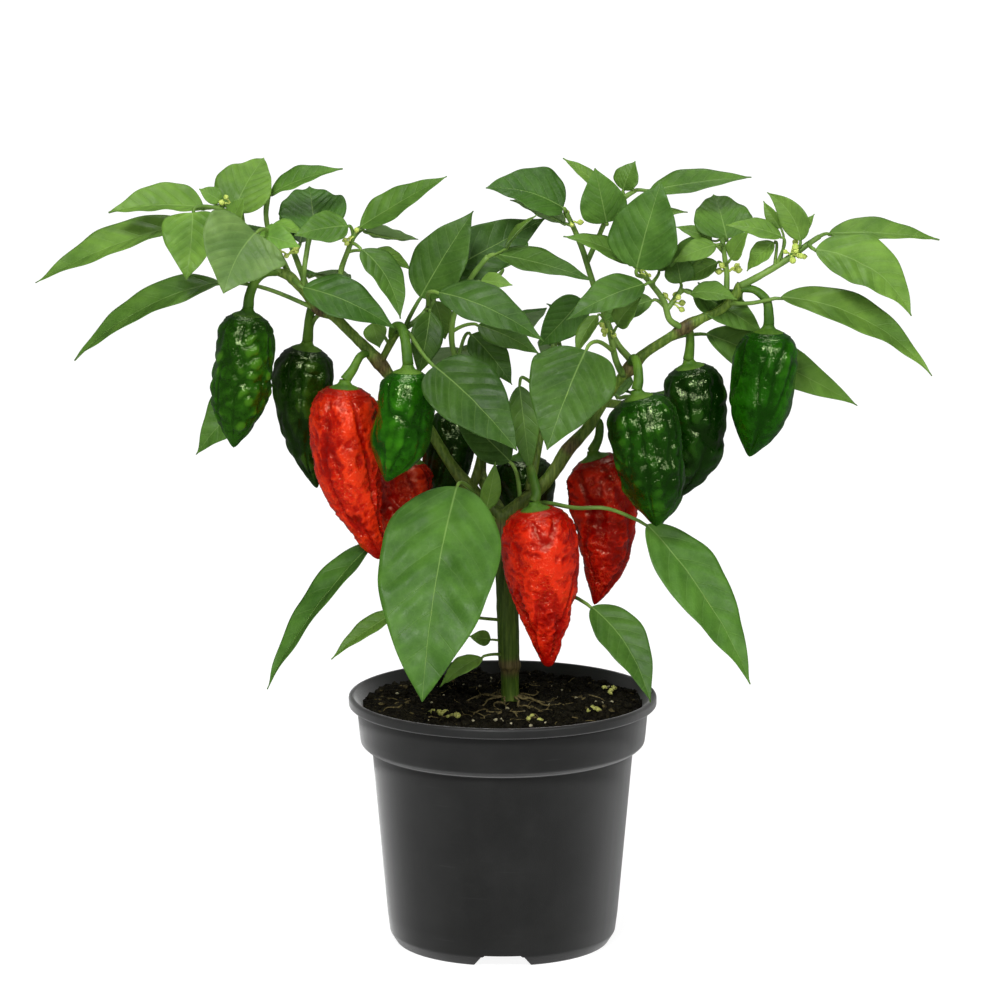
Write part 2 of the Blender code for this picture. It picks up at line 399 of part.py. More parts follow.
def ring_points(centre, side, normal, across, half, blend, fold, thickness, radius, wave):
    """One closed cross-section: the upper face from left to right, then the lower face back."""
    upper = []
    lower = []
    for u in across:
        rise = abs(u) * half * math.sin(fold) + wave * u * u * (1 if u > 0 else -1)
        flat_up = side * (u * half * math.cos(fold)) + normal * rise
        rib = 0.35 * (1 - abs(u)) if abs(u) < 0.2 else 0.0
        flat_down = flat_up - normal * (thickness + rib)
        turn = u * math.radians(72)
        round_up = side * (radius * math.sin(turn)) + normal * (radius * math.cos(turn))
        round_down = side * (radius * math.sin(turn)) - normal * (radius * math.cos(turn))
        upper.append(centre + round_up.lerp(flat_up, blend))
        lower.append(centre + round_down.lerp(flat_down, blend))
    return upper + lower[::-1]


def leaf_object(name, root, way, leaf, collection):
    """A leaf with its stalk as one closed loft."""
    base, tip, width, face, fold, arch, sweep, outline = leaf
    base = Vector(base)
    tip = Vector(tip)
    chord = (tip - base).normalized()
    face = Vector(face)
    up = (face - chord * face.dot(chord)).normalized()
    side = chord.cross(up)
    bend = (base + tip) / 2 + up * (2 * arch) + side * (2 * sweep)
    if width >= 28:
        across = (-1.0, -0.55, 0.0, 0.55, 1.0)
        shares = (0.0, 0.05, 0.16, 0.32, 0.50, 0.68, 0.85, 1.0)
    elif width >= 12:
        across = (-1.0, 0.0, 1.0)
        shares = (0.0, 0.12, 0.36, 0.68, 1.0)
    else:
        across = (-1.0, 0.0, 1.0)
        shares = (0.0, 0.20, 0.50, 1.0)
    blade = []
    for s in shares:
        blade.append(base * (1 - s) ** 2 + bend * (2 * s * (1 - s)) + tip * s * s)
    start_dir = (bend - base).normalized()
    reach = (base - root).length
    if way:
        spots = [root] + [Vector(p) for p in way] + [base]
        stalk = spline_points(spots, 1)[:-1]
    else:
        first = (base - root).normalized()
        near = root + (first + Vector((0, 0, 0.35))).normalized() * reach * 0.35
        far = base - start_dir * reach * 0.35
        stalk = [root]
        steps = (0.5,) if reach > 12 else ()
        if reach > 28:
            steps = (0.33, 0.67)
        for s in steps:
            stalk.append(root * (1 - s) ** 3 + near * (3 * s * (1 - s) ** 2)
                         + far * (3 * s * s * (1 - s)) + base * s ** 3)
    path = stalk + blade
    count = len(path)
    tangents = []
    for i in range(count):
        tangents.append((path[min(i + 1, count - 1)] - path[max(i - 1, 0)]).normalized())
    first_blade = len(stalk)
    normals = [None] * count
    for i in range(first_blade, count):
        normals[i] = (up - tangents[i] * up.dot(tangents[i])).normalized()
    for i in range(first_blade - 1, -1, -1):
        carried = normals[i + 1]
        normals[i] = (carried - tangents[i] * carried.dot(tangents[i])).normalized()
    bm = bmesh.new()
    rings = []
    for i, centre in enumerate(path):
        s = shares[i - first_blade] if i >= first_blade else 0.0
        half = max(half_width(s, outline) * width / 2, 0.45)
        blend = min(max(s / 0.05, 0.0), 1.0)
        radius = PETIOLE_RADIUS * (0.75 if width < 9 else 1.0)
        wave = 0.05 * width * math.sin(9.0 * s + width) * min(s * 4, 1.0) * (1 - s)
        ring = ring_points(centre, tangents[i].cross(normals[i]), normals[i], across, half, blend,
                           math.radians(fold), BLADE_THICKNESS, radius, wave)
        rings.append([bm.verts.new(p) for p in ring])
    sections = len(rings[0])
    last_up = len(across) - 1
    for a, b in zip(rings, rings[1:]):
        for j in range(sections):
            k = (j + 1) % sections
            if j < last_up or j == sections - 1 or j == last_up:
                bm.faces.new((a[j], a[k], b[k]))
                bm.faces.new((a[j], b[k], b[j]))
            else:
                bm.faces.new((a[j], a[k], b[j]))
                bm.faces.new((a[k], b[k], b[j]))
    bm.faces.new(rings[0][::-1])
    bm.faces.new(rings[-1])
    return mesh_object(name, bm, collection)


def pod_object(name, plan, collection):
    """A pod: a sphere cage drawn out to the pod's shape along a bent axis."""
    seat, tip, width, bend, shape, colour = plan[1:]
    seat = Vector(seat)
    tip = Vector(tip)
    axis = (tip - seat).normalized()
    side = Vector((0, 1, 0)).cross(axis).normalized()
    front = axis.cross(side)
    middle = (seat + tip) / 2 + side * (2 * bend)
    length = (tip - seat).length
    turn = sum(ord(letter) for letter in name)
    bm = bmesh.new()
    bmesh.ops.create_uvsphere(bm, u_segments=POD_SIDES, v_segments=POD_RINGS + 1, radius=1.0)
    profile = POD_SHAPES[shape]
    for vert in bm.verts:
        polar = math.acos(max(-1.0, min(1.0, vert.co.z)))
        row = polar / math.pi * (POD_RINGS + 1)
        angle = math.atan2(vert.co.y, vert.co.x)
        if row < 0.5:
            share, wide = 0.0, 0.0
        elif row > POD_RINGS + 0.5:
            share, wide = 1.0, 0.0
        else:
            share, wide = profile[int(round(row)) - 1]
        lobes = 1 + 0.045 * math.cos(3 * angle + turn) * math.sin(math.pi * min(share * 1.4, 1.0))
        lobes += 0.035 * math.sin(2 * angle + 7 * share + turn) * math.sin(math.pi * share)
        radius = wide * lobes * width / 2
        drop = GAP if row < 1.5 else 0.0
        s = share + drop / length
        centre = seat * (1 - s) ** 2 + middle * (2 * s * (1 - s)) + tip * s * s
        heading = ((middle - seat) * (1 - s) + (tip - middle) * s).normalized()
        across = (side - heading * side.dot(heading)).normalized()
        depth = heading.cross(across)
        vert.co = centre + across * (radius * math.cos(angle)) + depth * (radius * math.sin(angle))
    return mesh_object(name, bm, collection)


def union(target, others):
    """Fuse the other objects into the target and remove them."""
    if not others:
        return
    group = bpy.data.collections.new(target.name + "_joined")
    bpy.context.scene.collection.children.link(group)
    for other in others:
        for holder in list(other.users_collection):
            holder.objects.unlink(other)
        group.objects.link(other)
    join = target.modifiers.new("join", "BOOLEAN")
    join.operation = "UNION"
    join.operand_type = "COLLECTION"
    join.collection = group
    join.solver = "MANIFOLD"
    apply_modifiers(target)
    for other in others:
        bpy.data.objects.remove(other)
    bpy.data.collections.remove(group)


def cut(target, cutter):
    """Take the cutter's volume out of the target."""
    tool = target.modifiers.new("cut", "BOOLEAN")
    tool.operation = "DIFFERENCE"
    tool.object = cutter
    tool.solver = "MANIFOLD"
    apply_modifiers(target)


def keep_largest(obj):
    """Drop loose scraps that a cut leaves behind and weld what lies closer than a thousandth."""
    bm = bmesh.new()
    bm.from_mesh(obj.data)
    bmesh.ops.remove_doubles(bm, verts=bm.verts, dist=0.000002)
    bmesh.ops.dissolve_degenerate(bm, edges=bm.edges, dist=0.000001)
    seen = set()
    groups = []
    for start in bm.verts:
        if start in seen:
            continue
        stack = [start]
        seen.add(start)
        group = []
        while stack:
            vert = stack.pop()
            group.append(vert)
            for edge in vert.link_edges:
                other = edge.other_vert(vert)
                if other not in seen:
                    seen.add(other)
                    stack.append(other)
        groups.append(group)
    groups.sort(key=len)
    for group in groups[:-1]:
        bmesh.ops.delete(bm, geom=group, context="VERTS")
    bmesh.ops.triangulate(bm, faces=[f for f in bm.faces if len(f.verts) > 4])
    bm.to_mesh(obj.data)
    bm.free()


def turned(name, outline, segments, collection):
    """A solid of revolution about Z from an outline that runs down its outer side."""
    mesh = bpy.data.meshes.new(name)
    points = [(r * MM, 0.0, z * MM) for r, z in outline]
    edges = [(i, i + 1) for i in range(len(points) - 1)]
    mesh.from_pydata(points, edges, [])
    obj = bpy.data.objects.new(name, mesh)
    collection.objects.link(obj)
    screw = obj.modifiers.new("turn", "SCREW")
    screw.steps = segments
    screw.render_steps = segments
    screw.use_merge_vertices = True
    screw.merge_threshold = 0.00001
    screw.use_smooth_shade = True
    apply_modifiers(obj)
    bm = bmesh.new()
    bm.from_mesh(obj.data)
    bmesh.ops.remove_doubles(bm, verts=bm.verts, dist=0.00001)
    bmesh.ops.dissolve_degenerate(bm, edges=bm.edges, dist=0.000001)
    bmesh.ops.recalc_face_normals(bm, faces=bm.faces)
    bm.to_mesh(obj.data)
    bm.free()
    return obj


def build_pot(collection, cutters):
    """A turned shell with a lip, a collar, a drafted wall and a notched foot."""
    rim = POT_RIM_RADIUS
    top = POT_HEIGHT
    foot = POT_BASE_RADIUS
    outline = [(0, 7.0), (43.5, 7.0), (46.6, 12.0), (54.0, 82.0), (57.8, 88.0), (59.2, top - 5.0),
               (rim - 2.0, top), (rim - 0.7, top), (rim, top - 0.8), (rim, top - 3.8),
               (rim - 0.6, top - 4.4), (61.2, top - 4.6), (60.1, 89.0), (59.7, 86.0),
               (57.8, 84.2), (54.9, 83.2), (48.6, 12.0), (47.6, 4.5), (foot, 0.0), (37.0, 0.0),
               (35.5, FOOT_RECESS), (BOSS_RADIUS + 1.0, FOOT_RECESS), (BOSS_RADIUS, 0.0), (0, 0)]
    pot = turned("pot", outline, POT_SEGMENTS, collection)
    for index in range(3):
        angle = math.radians(-90 + 120 * index)
        bpy.ops.mesh.primitive_cube_add(size=1.0)
        notch = bpy.context.object
        notch.name = "notch_%d" % index
        shape = bmesh.new()
        shape.from_mesh(notch.data)
        for vert in shape.verts:
            wide = NOTCH_WIDTH + (NOTCH_TAPER if vert.co.z < 0 else -NOTCH_TAPER)
            vert.co.y *= wide * MM
            vert.co.x = (vert.co.x * 18.0 + 43.0) * MM
            vert.co.z = vert.co.z * 10.0 * MM
        shape.to_mesh(notch.data)
        shape.free()
        notch.rotation_euler = (0, 0, angle)
        bpy.ops.mesh.primitive_cylinder_add(radius=DRAIN_HOLE_RADIUS * MM, depth=10 * MM, vertices=16)
        hole = bpy.context.object
        hole.name = "drain_%d" % index
        hole.location = (25 * MM * math.cos(angle), 25 * MM * math.sin(angle), 6 * MM)
        for tool in (notch, hole):
            for holder in list(tool.users_collection):
                holder.objects.unlink(tool)
            cutters.objects.link(tool)
            tool.hide_render = True
            tool.display_type = "WIRE"
            carve = pot.modifiers.new("carve", "BOOLEAN")
            carve.operation = "DIFFERENCE"
            carve.object = tool
            carve.solver = "EXACT"
    apply_modifiers(pot)
    smooth(pot, 30)
    return pot


def soil_height(x, y):
    """Height of the soil's lumpy surface, in millimetres."""
    reach = math.hypot(x, y)
    lumps = math.sin(0.21 * x + 1.3) * math.cos(0.17 * y - 0.6)
    lumps += 0.6 * math.sin(0.43 * x - 0.31 * y) + 0.5 * math.cos(0.37 * y + 0.11 * x)
    fade = min(max((reach - 4.0) / 8.0, 0.0), 1.0)
    return SOIL_LEVEL + 1.6 * math.exp(-((reach / 16.0) ** 2)) + SOIL_LUMP * lumps * 0.7 * fade


def build_soil(collection, cutters):
    """The soil fills the pot, with a plain hole for the foot of the trunk."""
    wall = [(57.4, 88.2), (53.6, 82.2), (46.2, 12.2), (43.2, 7.0 + GAP), (0, 7.0 + GAP)]
    rings = [0, 5.6, 13, 23, 34, 46, 58.5]
    outline = [(r, SOIL_LEVEL) for r in rings] + wall
    soil = turned("soil", outline, 24, collection)
    for vert in soil.data.vertices:
        if vert.co.z > 100 * MM:
            vert.co.z = soil_height(vert.co.x / MM, vert.co.y / MM) * MM
    bpy.ops.mesh.primitive_cylinder_add(radius=TRUNK_HOLE_RADIUS * MM, depth=30 * MM, vertices=16)
    hole = bpy.context.object
    hole.name = "trunk_hole"
    hole.location = (3.0 * MM, 0.0, 101.0 * MM)
    for holder in list(hole.users_collection):
        holder.objects.unlink(hole)
    cutters.objects.link(hole)
    hole.hide_render = True
    hole.display_type = "WIRE"
    carve = soil.modifiers.new("carve", "BOOLEAN")
    carve.operation = "DIFFERENCE"
    carve.object = hole
    carve.solver = "EXACT"
    apply_modifiers(soil)
    smooth(soil, 60)
    return soil


def stalk_points(plan):
    """Joints of a pod's stalk, which widens into the calyx that caps the pod."""
    ways, seat, tip = plan[:3]
    seat = Vector(seat)
    heading = (Vector(tip) - seat).normalized()
    # the stalk meets the pod squarely, along the pod's own axis
    middle = (seat + Vector(tip)) / 2
    side = Vector((0, 1, 0)).cross(heading).normalized()
    heading = (middle + side * (2 * plan[4]) - seat).normalized()
    joints = [way + (1.5 + 0.25 * index,) for index, way in enumerate(ways)]
    joints.append(tuple(seat - heading * 2.6) + (2.7,))
    joints.append(tuple(seat - heading * 1.1) + (CALYX_RADIUS - 0.8,))
    joints.append(tuple(seat) + (CALYX_RADIUS,))
    return joints


def woody_frame(name, collection, grow):
    """Trunk, limbs, pod stalks and calyces fused into one body."""
    pieces = []
    for limb, joints in LIMBS.items():
        resolution = 4 if limb == "trunk" else 2 if limb in ("left", "right") else 1
        pieces.append(curve_tube(limb, joints, resolution, collection, grow))
    for pod, plan in PODS.items():
        pieces.append(curve_tube("stalk_" + pod, stalk_points(plan), 1, collection, grow))
    frame = pieces[0]
    frame.name = name
    frame.data.name = name
    union(frame, pieces[1:])
    keep_largest(frame)
    return frame


def build_leaves(collection):
    """The leafy sprays and single leaves, each fused into one body."""
    twig_points = {key: joints for key, (node, joints) in TWIGS.items()}
    parts = {}
    for key, (node, joints) in TWIGS.items():
        parts.setdefault(node, []).append(curve_tube("twig_" + key, joints, 1, collection))
    for index, row in enumerate(LEAVES):
        owner, place = row[:2]
        if owner in TWIGS:
            node = TWIGS[owner][0]
            root = along(twig_points[owner], place)
            way = None
        else:
            node = owner
            root = along(LIMBS[place[0]], place[1])
            way = STALK_WAYS.get(owner)
        leaf = leaf_object("leaf_%02d" % index, root, way, row[2:], collection)
        parts.setdefault(node, []).append(leaf)
    return parts


def main():
    for obj in list(bpy.data.objects):
        bpy.data.objects.remove(obj)
    plant = bpy.data.collections.new("chilli_plant")
    cutters = bpy.data.collections.new("cutters")
    bpy.context.scene.collection.children.link(plant)
    bpy.context.scene.collection.children.link(cutters)

    pot = build_pot(plant, cutters)
    pot.data.materials.clear()
    pot.data.materials.append(material("pot_plastic", POT_BLACK))
    soil = build_soil(plant, cutters)
    soil.data.materials.clear()
    soil.data.materials.append(material("soil_mix", SOIL_BROWN))

    stem = woody_frame("stem", plant, 0.0)
    stem.data.materials.clear()
    stem.data.materials.append(material("stem_bark", STEM_GREEN))
    smooth(stem, 60)

    looks = {"green": GREEN_POD, "dark": DARK_POD, "red": RED_POD}
    for name, plan in PODS.items():
        pod = pod_object(name, plan, plant)
        pod.data.materials.append(material(name + "_skin", looks[plan[6]]))
        smooth(pod, 60)

    swollen = woody_frame("swollen", cutters, GAP)
    swollen.hide_render = True
    swollen.display_type = "WIRE"
    for node, pieces in build_leaves(plant).items():
        spray = pieces[0]
        spray.name = node
        spray.data.name = node
        union(spray, pieces[1:])
        cut(spray, swollen)
        keep_largest(spray)
        spray.data.materials.clear()
        spray.data.materials.append(material(node + "_green", LEAF_GREEN))
        smooth(spray, 50)


main()
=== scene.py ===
"""Looks of a potted chilli pepper plant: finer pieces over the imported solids.

Lengths are in millimetres until Mesher.build and the pot turn them into metres.
"""
import math
import random
from collections import namedtuple

import bmesh
import bpy
from mathutils import Matrix, Vector, noise


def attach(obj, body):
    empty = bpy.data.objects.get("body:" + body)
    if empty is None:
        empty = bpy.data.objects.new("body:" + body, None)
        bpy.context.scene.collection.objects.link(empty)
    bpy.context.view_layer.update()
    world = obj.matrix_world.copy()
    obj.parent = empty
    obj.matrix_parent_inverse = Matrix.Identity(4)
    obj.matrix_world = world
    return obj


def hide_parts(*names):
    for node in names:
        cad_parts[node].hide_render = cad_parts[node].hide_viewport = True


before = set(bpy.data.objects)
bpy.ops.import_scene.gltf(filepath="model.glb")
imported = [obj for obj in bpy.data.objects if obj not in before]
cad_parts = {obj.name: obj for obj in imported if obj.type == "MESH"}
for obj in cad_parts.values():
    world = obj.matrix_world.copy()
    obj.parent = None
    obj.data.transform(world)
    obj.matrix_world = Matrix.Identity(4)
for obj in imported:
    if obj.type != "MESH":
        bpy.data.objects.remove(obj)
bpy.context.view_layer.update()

MM = 0.001
DEPTH = Vector((0, 1, 0))

# ---- Looks ----

VEINS = 6.5          # side veins on each half of a blade
VEIN_SLANT = 0.75    # how far a side vein runs forward on its way out
VEIN_CURL = 0.45     # how much it turns forward near the margin
VEIN_SHIFT = 0.2     # offset between the veins of the two halves
QUILT = 0.026        # swell between the veins, as a share of the blade's width
POD_RELIEF = 0.85
LEAF_OLD = (0.053, 0.140, 0.018)
LEAF_NEW = (0.150, 0.288, 0.043)
LEAF_SHEEN_GREY = (0.165, 0.270, 0.085)
# How young the leaves of a twig or a single leaf are; how much lighter or darker they are painted,
# partly their own tone and partly painted light and shade; and how far a large leaf is drawn to a
# pale grey painted sheen.
YOUNG = {"A": 0.75, "O": 0.85, "N": 0.35, "M": 0.3, "B": 0.25, "D": 0.25, "U": 0.1,
         "leaf_right_long": 0.75, "leaf_left_long": 0.25, "leaf_fork_small": 0.7,
         "leaf_right_back": 0.3}
SHADE = {"B": 1.32, "T": 0.92, "H": 0.85, "F": 0.74, "K": 0.80, "A": 1.1, "L": 1.05,
         "leaf_left_dark": 0.9, "leaf_front_large": 1.1, "leaf_right_large": 1.15,
         "leaf_fork_left": 0.75, "leaf_fork_right": 0.75}
PAINTED_SHEEN = {"B": 0.75}
SHEEN_LEAST_WIDTH = 30
# Least width of a leaf, columns and rows of its blade, radius of its stalk.
LEAF_GRADES = ((28, 24, 60, 0.88), (18, 18, 42, 0.88), (15, 18, 42, 0.76), (12, 10, 24, 0.76),
               (9, 10, 24, 0.66), (0, 8, 16, 0.55))
BLADE_THICKNESS = 0.38
BLADE_WAVE = 0.05    # slow wave of a blade, as a share of its width
BLADE_FRILL = 0.018  # quick wave along its margin
BLADE_RIPPLE = 0.022  # uneven rise and fall all over it
LEAF_GLOW = 0.22     # share of the light that passes through a blade
POD_AROUND, POD_ROWS = 96, 124
POD_MEAN_WIDTH = 28  # a wider pod is wrinkled more deeply
POD_SINK, POD_SWELL = -1.8, 0.85
POD_NECK = 0.06      # share of a pod's rows that lie under the calyx
POD_END = 0.96       # share of its length where the tip rounds off
POD_SLOTS = {"red": "red_pod", "green": "green_pod", "dark": "dark_pod"}
# Pod skins: material, tints of the painted shade on the low parts and of the painted highlights on
# the high parts, gloss tint, roughness, share of painted glint lines.
POD_SKINS = {
    "red": ("pod_red", (0.50, 0.22, 0.25), (1.48, 4.6, 3.8), (1.0, 0.55, 0.36), 0.14, 0.14),
    "green": ("pod_green", (0.26, 0.34, 0.20), (2.7, 1.8, 2.8), (0.80, 1.0, 0.50), 0.10, 0.0),
}
# Loose bits: material, dark and light colour, roughness.
BIT_LOOKS = {
    "soil_crumbs": ("peat_crumb", (0.0008, 0.0007, 0.0003), (0.011, 0.009, 0.003), 0.8),
    "soil_bark": ("bark_bit", (0.012, 0.009, 0.003), (0.10, 0.082, 0.032), 0.75),
    "soil_perlite": ("perlite", (0.20, 0.18, 0.10), (0.45, 0.42, 0.28), 0.7),
    "soil_granules": ("granule", (0.22, 0.24, 0.045), (0.50, 0.50, 0.16), 0.5),
    "soil_fibres": ("fibre", (0.035, 0.027, 0.009), (0.150, 0.122, 0.052), 0.7),
    "buds": ("bud", (0.30, 0.42, 0.06), (0.55, 0.62, 0.16), 0.5),
}

# ---- Pot, soil and stage ----

POT_RIM_RADIUS = 64.7
POT_HEIGHT = 106.0
POT_BASE_RADIUS = 44.8
POT_SEGMENTS = 168
POT_ROUNDING = 0.7
POT_SHARP_ANGLE = 34
FOOT_RECESS = 5.0
BOSS_RADIUS = 14.0
NOTCH_WIDTH, NOTCH_DEPTH, NOTCH_HEIGHT = 24.0, 18.0, 10.0
NOTCH_TAPER = 7.0
NOTCH_REACH = 43.0
DRAIN_HOLE_RADIUS, DRAIN_HOLE_REACH = 4.0, 25.0
SOIL_LEVEL = 102.2
SOIL_LUMP = 1.1
SOIL_EDGE = 58.7
SOIL_FLOOR = 7.6
SOIL_AROUND, SOIL_RINGS = 180, 62
MOUND_HEIGHT, MOUND_REACH = 1.6, 16.0
THREAD_INNER, THREAD_OUTER = 5, 56
TRUNK_X = 3
SOIL_SIDE = ((97.0, 58.1), (86.0, 55.0), (60.0, 51.0), (12.2, 46.0), (SOIL_FLOOR, 42.8))
CALYX_RADIUS = 6.4
CALYX_NECK = 3.4
CALYX_SIDES = 40
# Root threads: heading in degrees, length, thickness.
ROOTS = ((-155, 15, 0.55), (-115, 11, 0.5), (-62, 17, 0.6), (-25, 22, 0.6), (12, 20, 0.5),
         (170, 20, 0.5), (95, 18, 0.6), (140, 14, 0.5), (50, 20, 0.5))
# Heaps of feed granules: x, y, how many.
GRANULES = ((-27, -22, 16), (-20, -27, 5), (12, -30, 3), (46, 17, 6), (40, -13, 6))
# Brown joints of the bark: place and reach.
BROWN_JOINTS = (((-51, -2, 247), 6.5), ((53.5, 0, 245.5), 6.5), ((75.5, 0, 262), 6.0),
                ((-76, -3, 270), 4.0), ((2, 0, 176), 7.0), ((28, 1, 212), 5.5),
                ((3, 0, 118), 5.0))
# Clusters of flower buds: place, how many, reach.
BUDS = (((119, -2, 292), 8, 5.0), ((-112, -8, 314), 5, 5.0), ((57, -6, 287), 4, 4.0),
        ((28, 4, 305), 4, 4.0), ((94, 3, 285), 5, 4.0), ((-89, -1, 292), 4, 4.0),
        ((-29, -2, 278), 4, 4.0), ((70, -3, 272), 5, 4.0), ((44, -9, 262), 4, 4.0),
        ((-61, 1, 300), 3, 4.0))
# The stage, in metres and watts.
FLOOR_SIZE = 60.0
BACKDROP_RADIUS, BACKDROP_HEIGHT, BACKDROP_MIDDLE = 16.0, 24.0, 10.0
WORLD_LEVEL = 0.11
LAMPS = (("key", (-0.55, -2.1, 2.05), 0.60, 66.0), ("side", (1.6, -1.9, 1.5), 0.5, 32.0),
         ("front", (-0.30, -2.55, 0.98), 0.36, 13.0), ("top", (0.1, 0.6, 2.6), 1.0, 28.0))
LAMP_AIM = (0, 0, 0.2)
CAMERA_PLACE = (-0.0011, -2.4, 0.665)
CAMERA_TILT = 78.78
CAMERA_LENS = 211.07

# ---- Plan of the plant ----


def read_joints(text):
    """Named rows of joints from a table; each joint is x, y, z and radius."""
    table = {}
    for row in text.split(";"):
        name, _, spots = row.partition(":")
        table[name.strip()] = [tuple(float(n) for n in spot.split()) for spot in spots.split(",")]
    return table


Leaf = namedtuple("Leaf", "owner limb share base tip width face fold arch sweep outline")


def read_leaves(text):
    """Leaves from a table; a line without a name belongs to the owner of the line above."""
    leaves = []
    owner = limb = ""
    for line in text.strip().splitlines():
        head, _, numbers = line.rpartition(":")
        if head:
            owner, _, limb = head.strip().partition(" on ")
        words = numbers.replace(",", " ").split()
        n = [float(word) for word in words[:13]]
        sweep = float(words[13]) if len(words) > 13 else 0.0
        outline = words[14] if len(words) > 14 else "slim"
        leaves.append(Leaf(owner, limb, n[0], n[1:4], n[4:7], n[7], n[8:11], n[11], n[12],
                           sweep, outline))
    return leaves


# Woody frame, from the root outwards.
LIMBS = read_joints("""
trunk: 3 0 87 4.2, 3 0 101 3.9, 3 0 115 3.8, 3 0 118 4.6, 2.5 0 122 4.5, 2 0 140 4.6, 1 0 156 4,
    0 0 172 3.9, 0 0 184 4.2;
left: 0 0 181 3.6, -7 0 187 3.2, -14 1 194 3, -22 3 204 2.3, -30 4 217 2.2, -38 3 229 2.1,
    -46 0 240 2.2, -51 -2 247 3, -57 -3 254 2.3, -63 -3 260 2.1, -70 -3 267 2.2, -76 -3 270 2.7,
    -82 -4 277 1.8, -88 -5 284 2.2, -93 -6 286 1.6;
right: 0 0 181 3.6, 7 0 187 3.2, 14 0 193 3, 20.5 0 200 2.7, 27 1 210 2.9, 36 2 220 2.3,
    42 1 230 2, 48.5 0 240 2, 53.5 0 245.5 3.1, 59 0 251 2, 65.5 0 255.5 2, 71 0 259 2.1,
    75.5 0 262 2.9, 83 0 266 2, 91 0 270 1.9, 96 0 275 2.1, 99 0 280 2.2;
centre_left: -13 1 193 2, -9 5 206 1.9, -7 8 222 1.8, -13 10 240 1.7;
centre_right: 11 0 193 2.1, 14 3 207 1.9, 17 10 225 1.8, 20 20 245 1.7;
left_side: -51 -2 247 1.7, -47 -5 255 1.5, -44 -7 261 1.9;
back_middle: 0 2 182 2.6, -9 14 198 2.2, -5 38 222 2, -6 42 246 1.8;
back_left: -38 3 229 1.9, -46 19 227 1.8, -57 36 222 1.8;
back_right: 42 1 230 1.9, 51 17 226 1.8, 61 34 221 1.8
""")

# Twigs of the leafy sprays: letter and node.
TWIGS = read_joints("""
A spray_left_tip: -92 -6 286 1.4, -99 -7 294 1.2, -104 -8 303 1.1, -110 -8 309 1.1,
    -113 -8 314 1.2;
B spray_left_upper: -88 -5 284 1.4, -91 0 290 1.2, -96 4 299 1.1, -98 5 308 1.1, -97 5 317 1.2;
C spray_left_inner: -83 -4 278 1.3, -82 4 288 1.1, -80 8 300 1.2;
D spray_left_mid: -69 -3 266 1.3, -67 1 276 1.1, -67 3 285 1.2, -64 2 294 1.1, -61 1 302 1.2;
F spray_centre_left: -44 -7 261 1.4, -38 -5 264 1.2, -33 -4 268 1.2, -29 -3 274 1.2,
    -28 -1 281 1.1;
H spray_centre: -12 10 238 1.5, -20 4 250 1.3, -21 -2 263 1.2, -18 -5 274 1.1, -13 -7 284 1.1,
    -6 -8 293 1.1;
K spray_right_low: 50 -1 242 1.6, 47 -7 249 1.4, 45 -9 258 1.3, 43 -9 266 1.2;
L spray_right_inner: 74 -1 262 1.5, 69 -4 266 1.3, 67 -4 273 1.3, 63 -5 279 1.2, 58 -6 285 1.1;
M spray_right_inner: 68 -4 270 1.2, 71 -3 274 1.1, 74 -2 278 1.2;
N spray_right_mid: 92.5 1 271.5 1.4, 93 3 283 1.2, 92 3 291 1.1, 91 3 298 1.1;
O spray_right_tip: 98.5 -1 279.5 1.6, 104 -2 282.5 1.5, 110 -2 286 1.4, 118 -2 291 1.4,
    126 -2 297 1.2, 131 0 300 1.1;
T spray_top: 54 2 247 1.6, 47 7 255 1.4, 42 9 267 1.3, 37 8 281 1.3, 33 6 294 1.2, 29 4 304 1.1,
    26 3 310 1.1;
U spray_top: 35 7 288 1.2, 39 7 297 1.1, 43 6 306 1.1, 49 7 314 1.1, 55 9 318 1;
V spray_back_left: -56 35 222 1.7, -62 44 220 1.5, -68 54 217 1.3;
W spray_back_middle: -6 42 244 1.8, -6 46 255 1.5, -4 50 266 1.3, -2 52 274 1.2;
X spray_back_right: 60 33 221 1.7, 57 43 224 1.5, 54 52 223 1.3;
Y spray_back_far_left: -79 -3 273 1.5, -83 12 281 1.3, -88 26 291 1.2;
Z spray_back_far_right: 97 1 276 1.5, 98 9 278 1.4, 99 18 272 1.3, 99 28 258 1.2;
R spray_back_low: 20 19 243 1.7, 22 28 252 1.4, 22 36 260 1.3
""")
TWIG_NODES = {head.split()[0]: head.split()[1] for head in TWIGS}
TWIGS = {head.split()[0]: joints for head, joints in TWIGS.items()}

# Rise and fall of a leaf outline: how fast it widens from its base and narrows to its tip.
OUTLINES = {"broad": (0.52, 1.10), "slim": (0.70, 1.25), "ovate": (0.62, 1.02)}

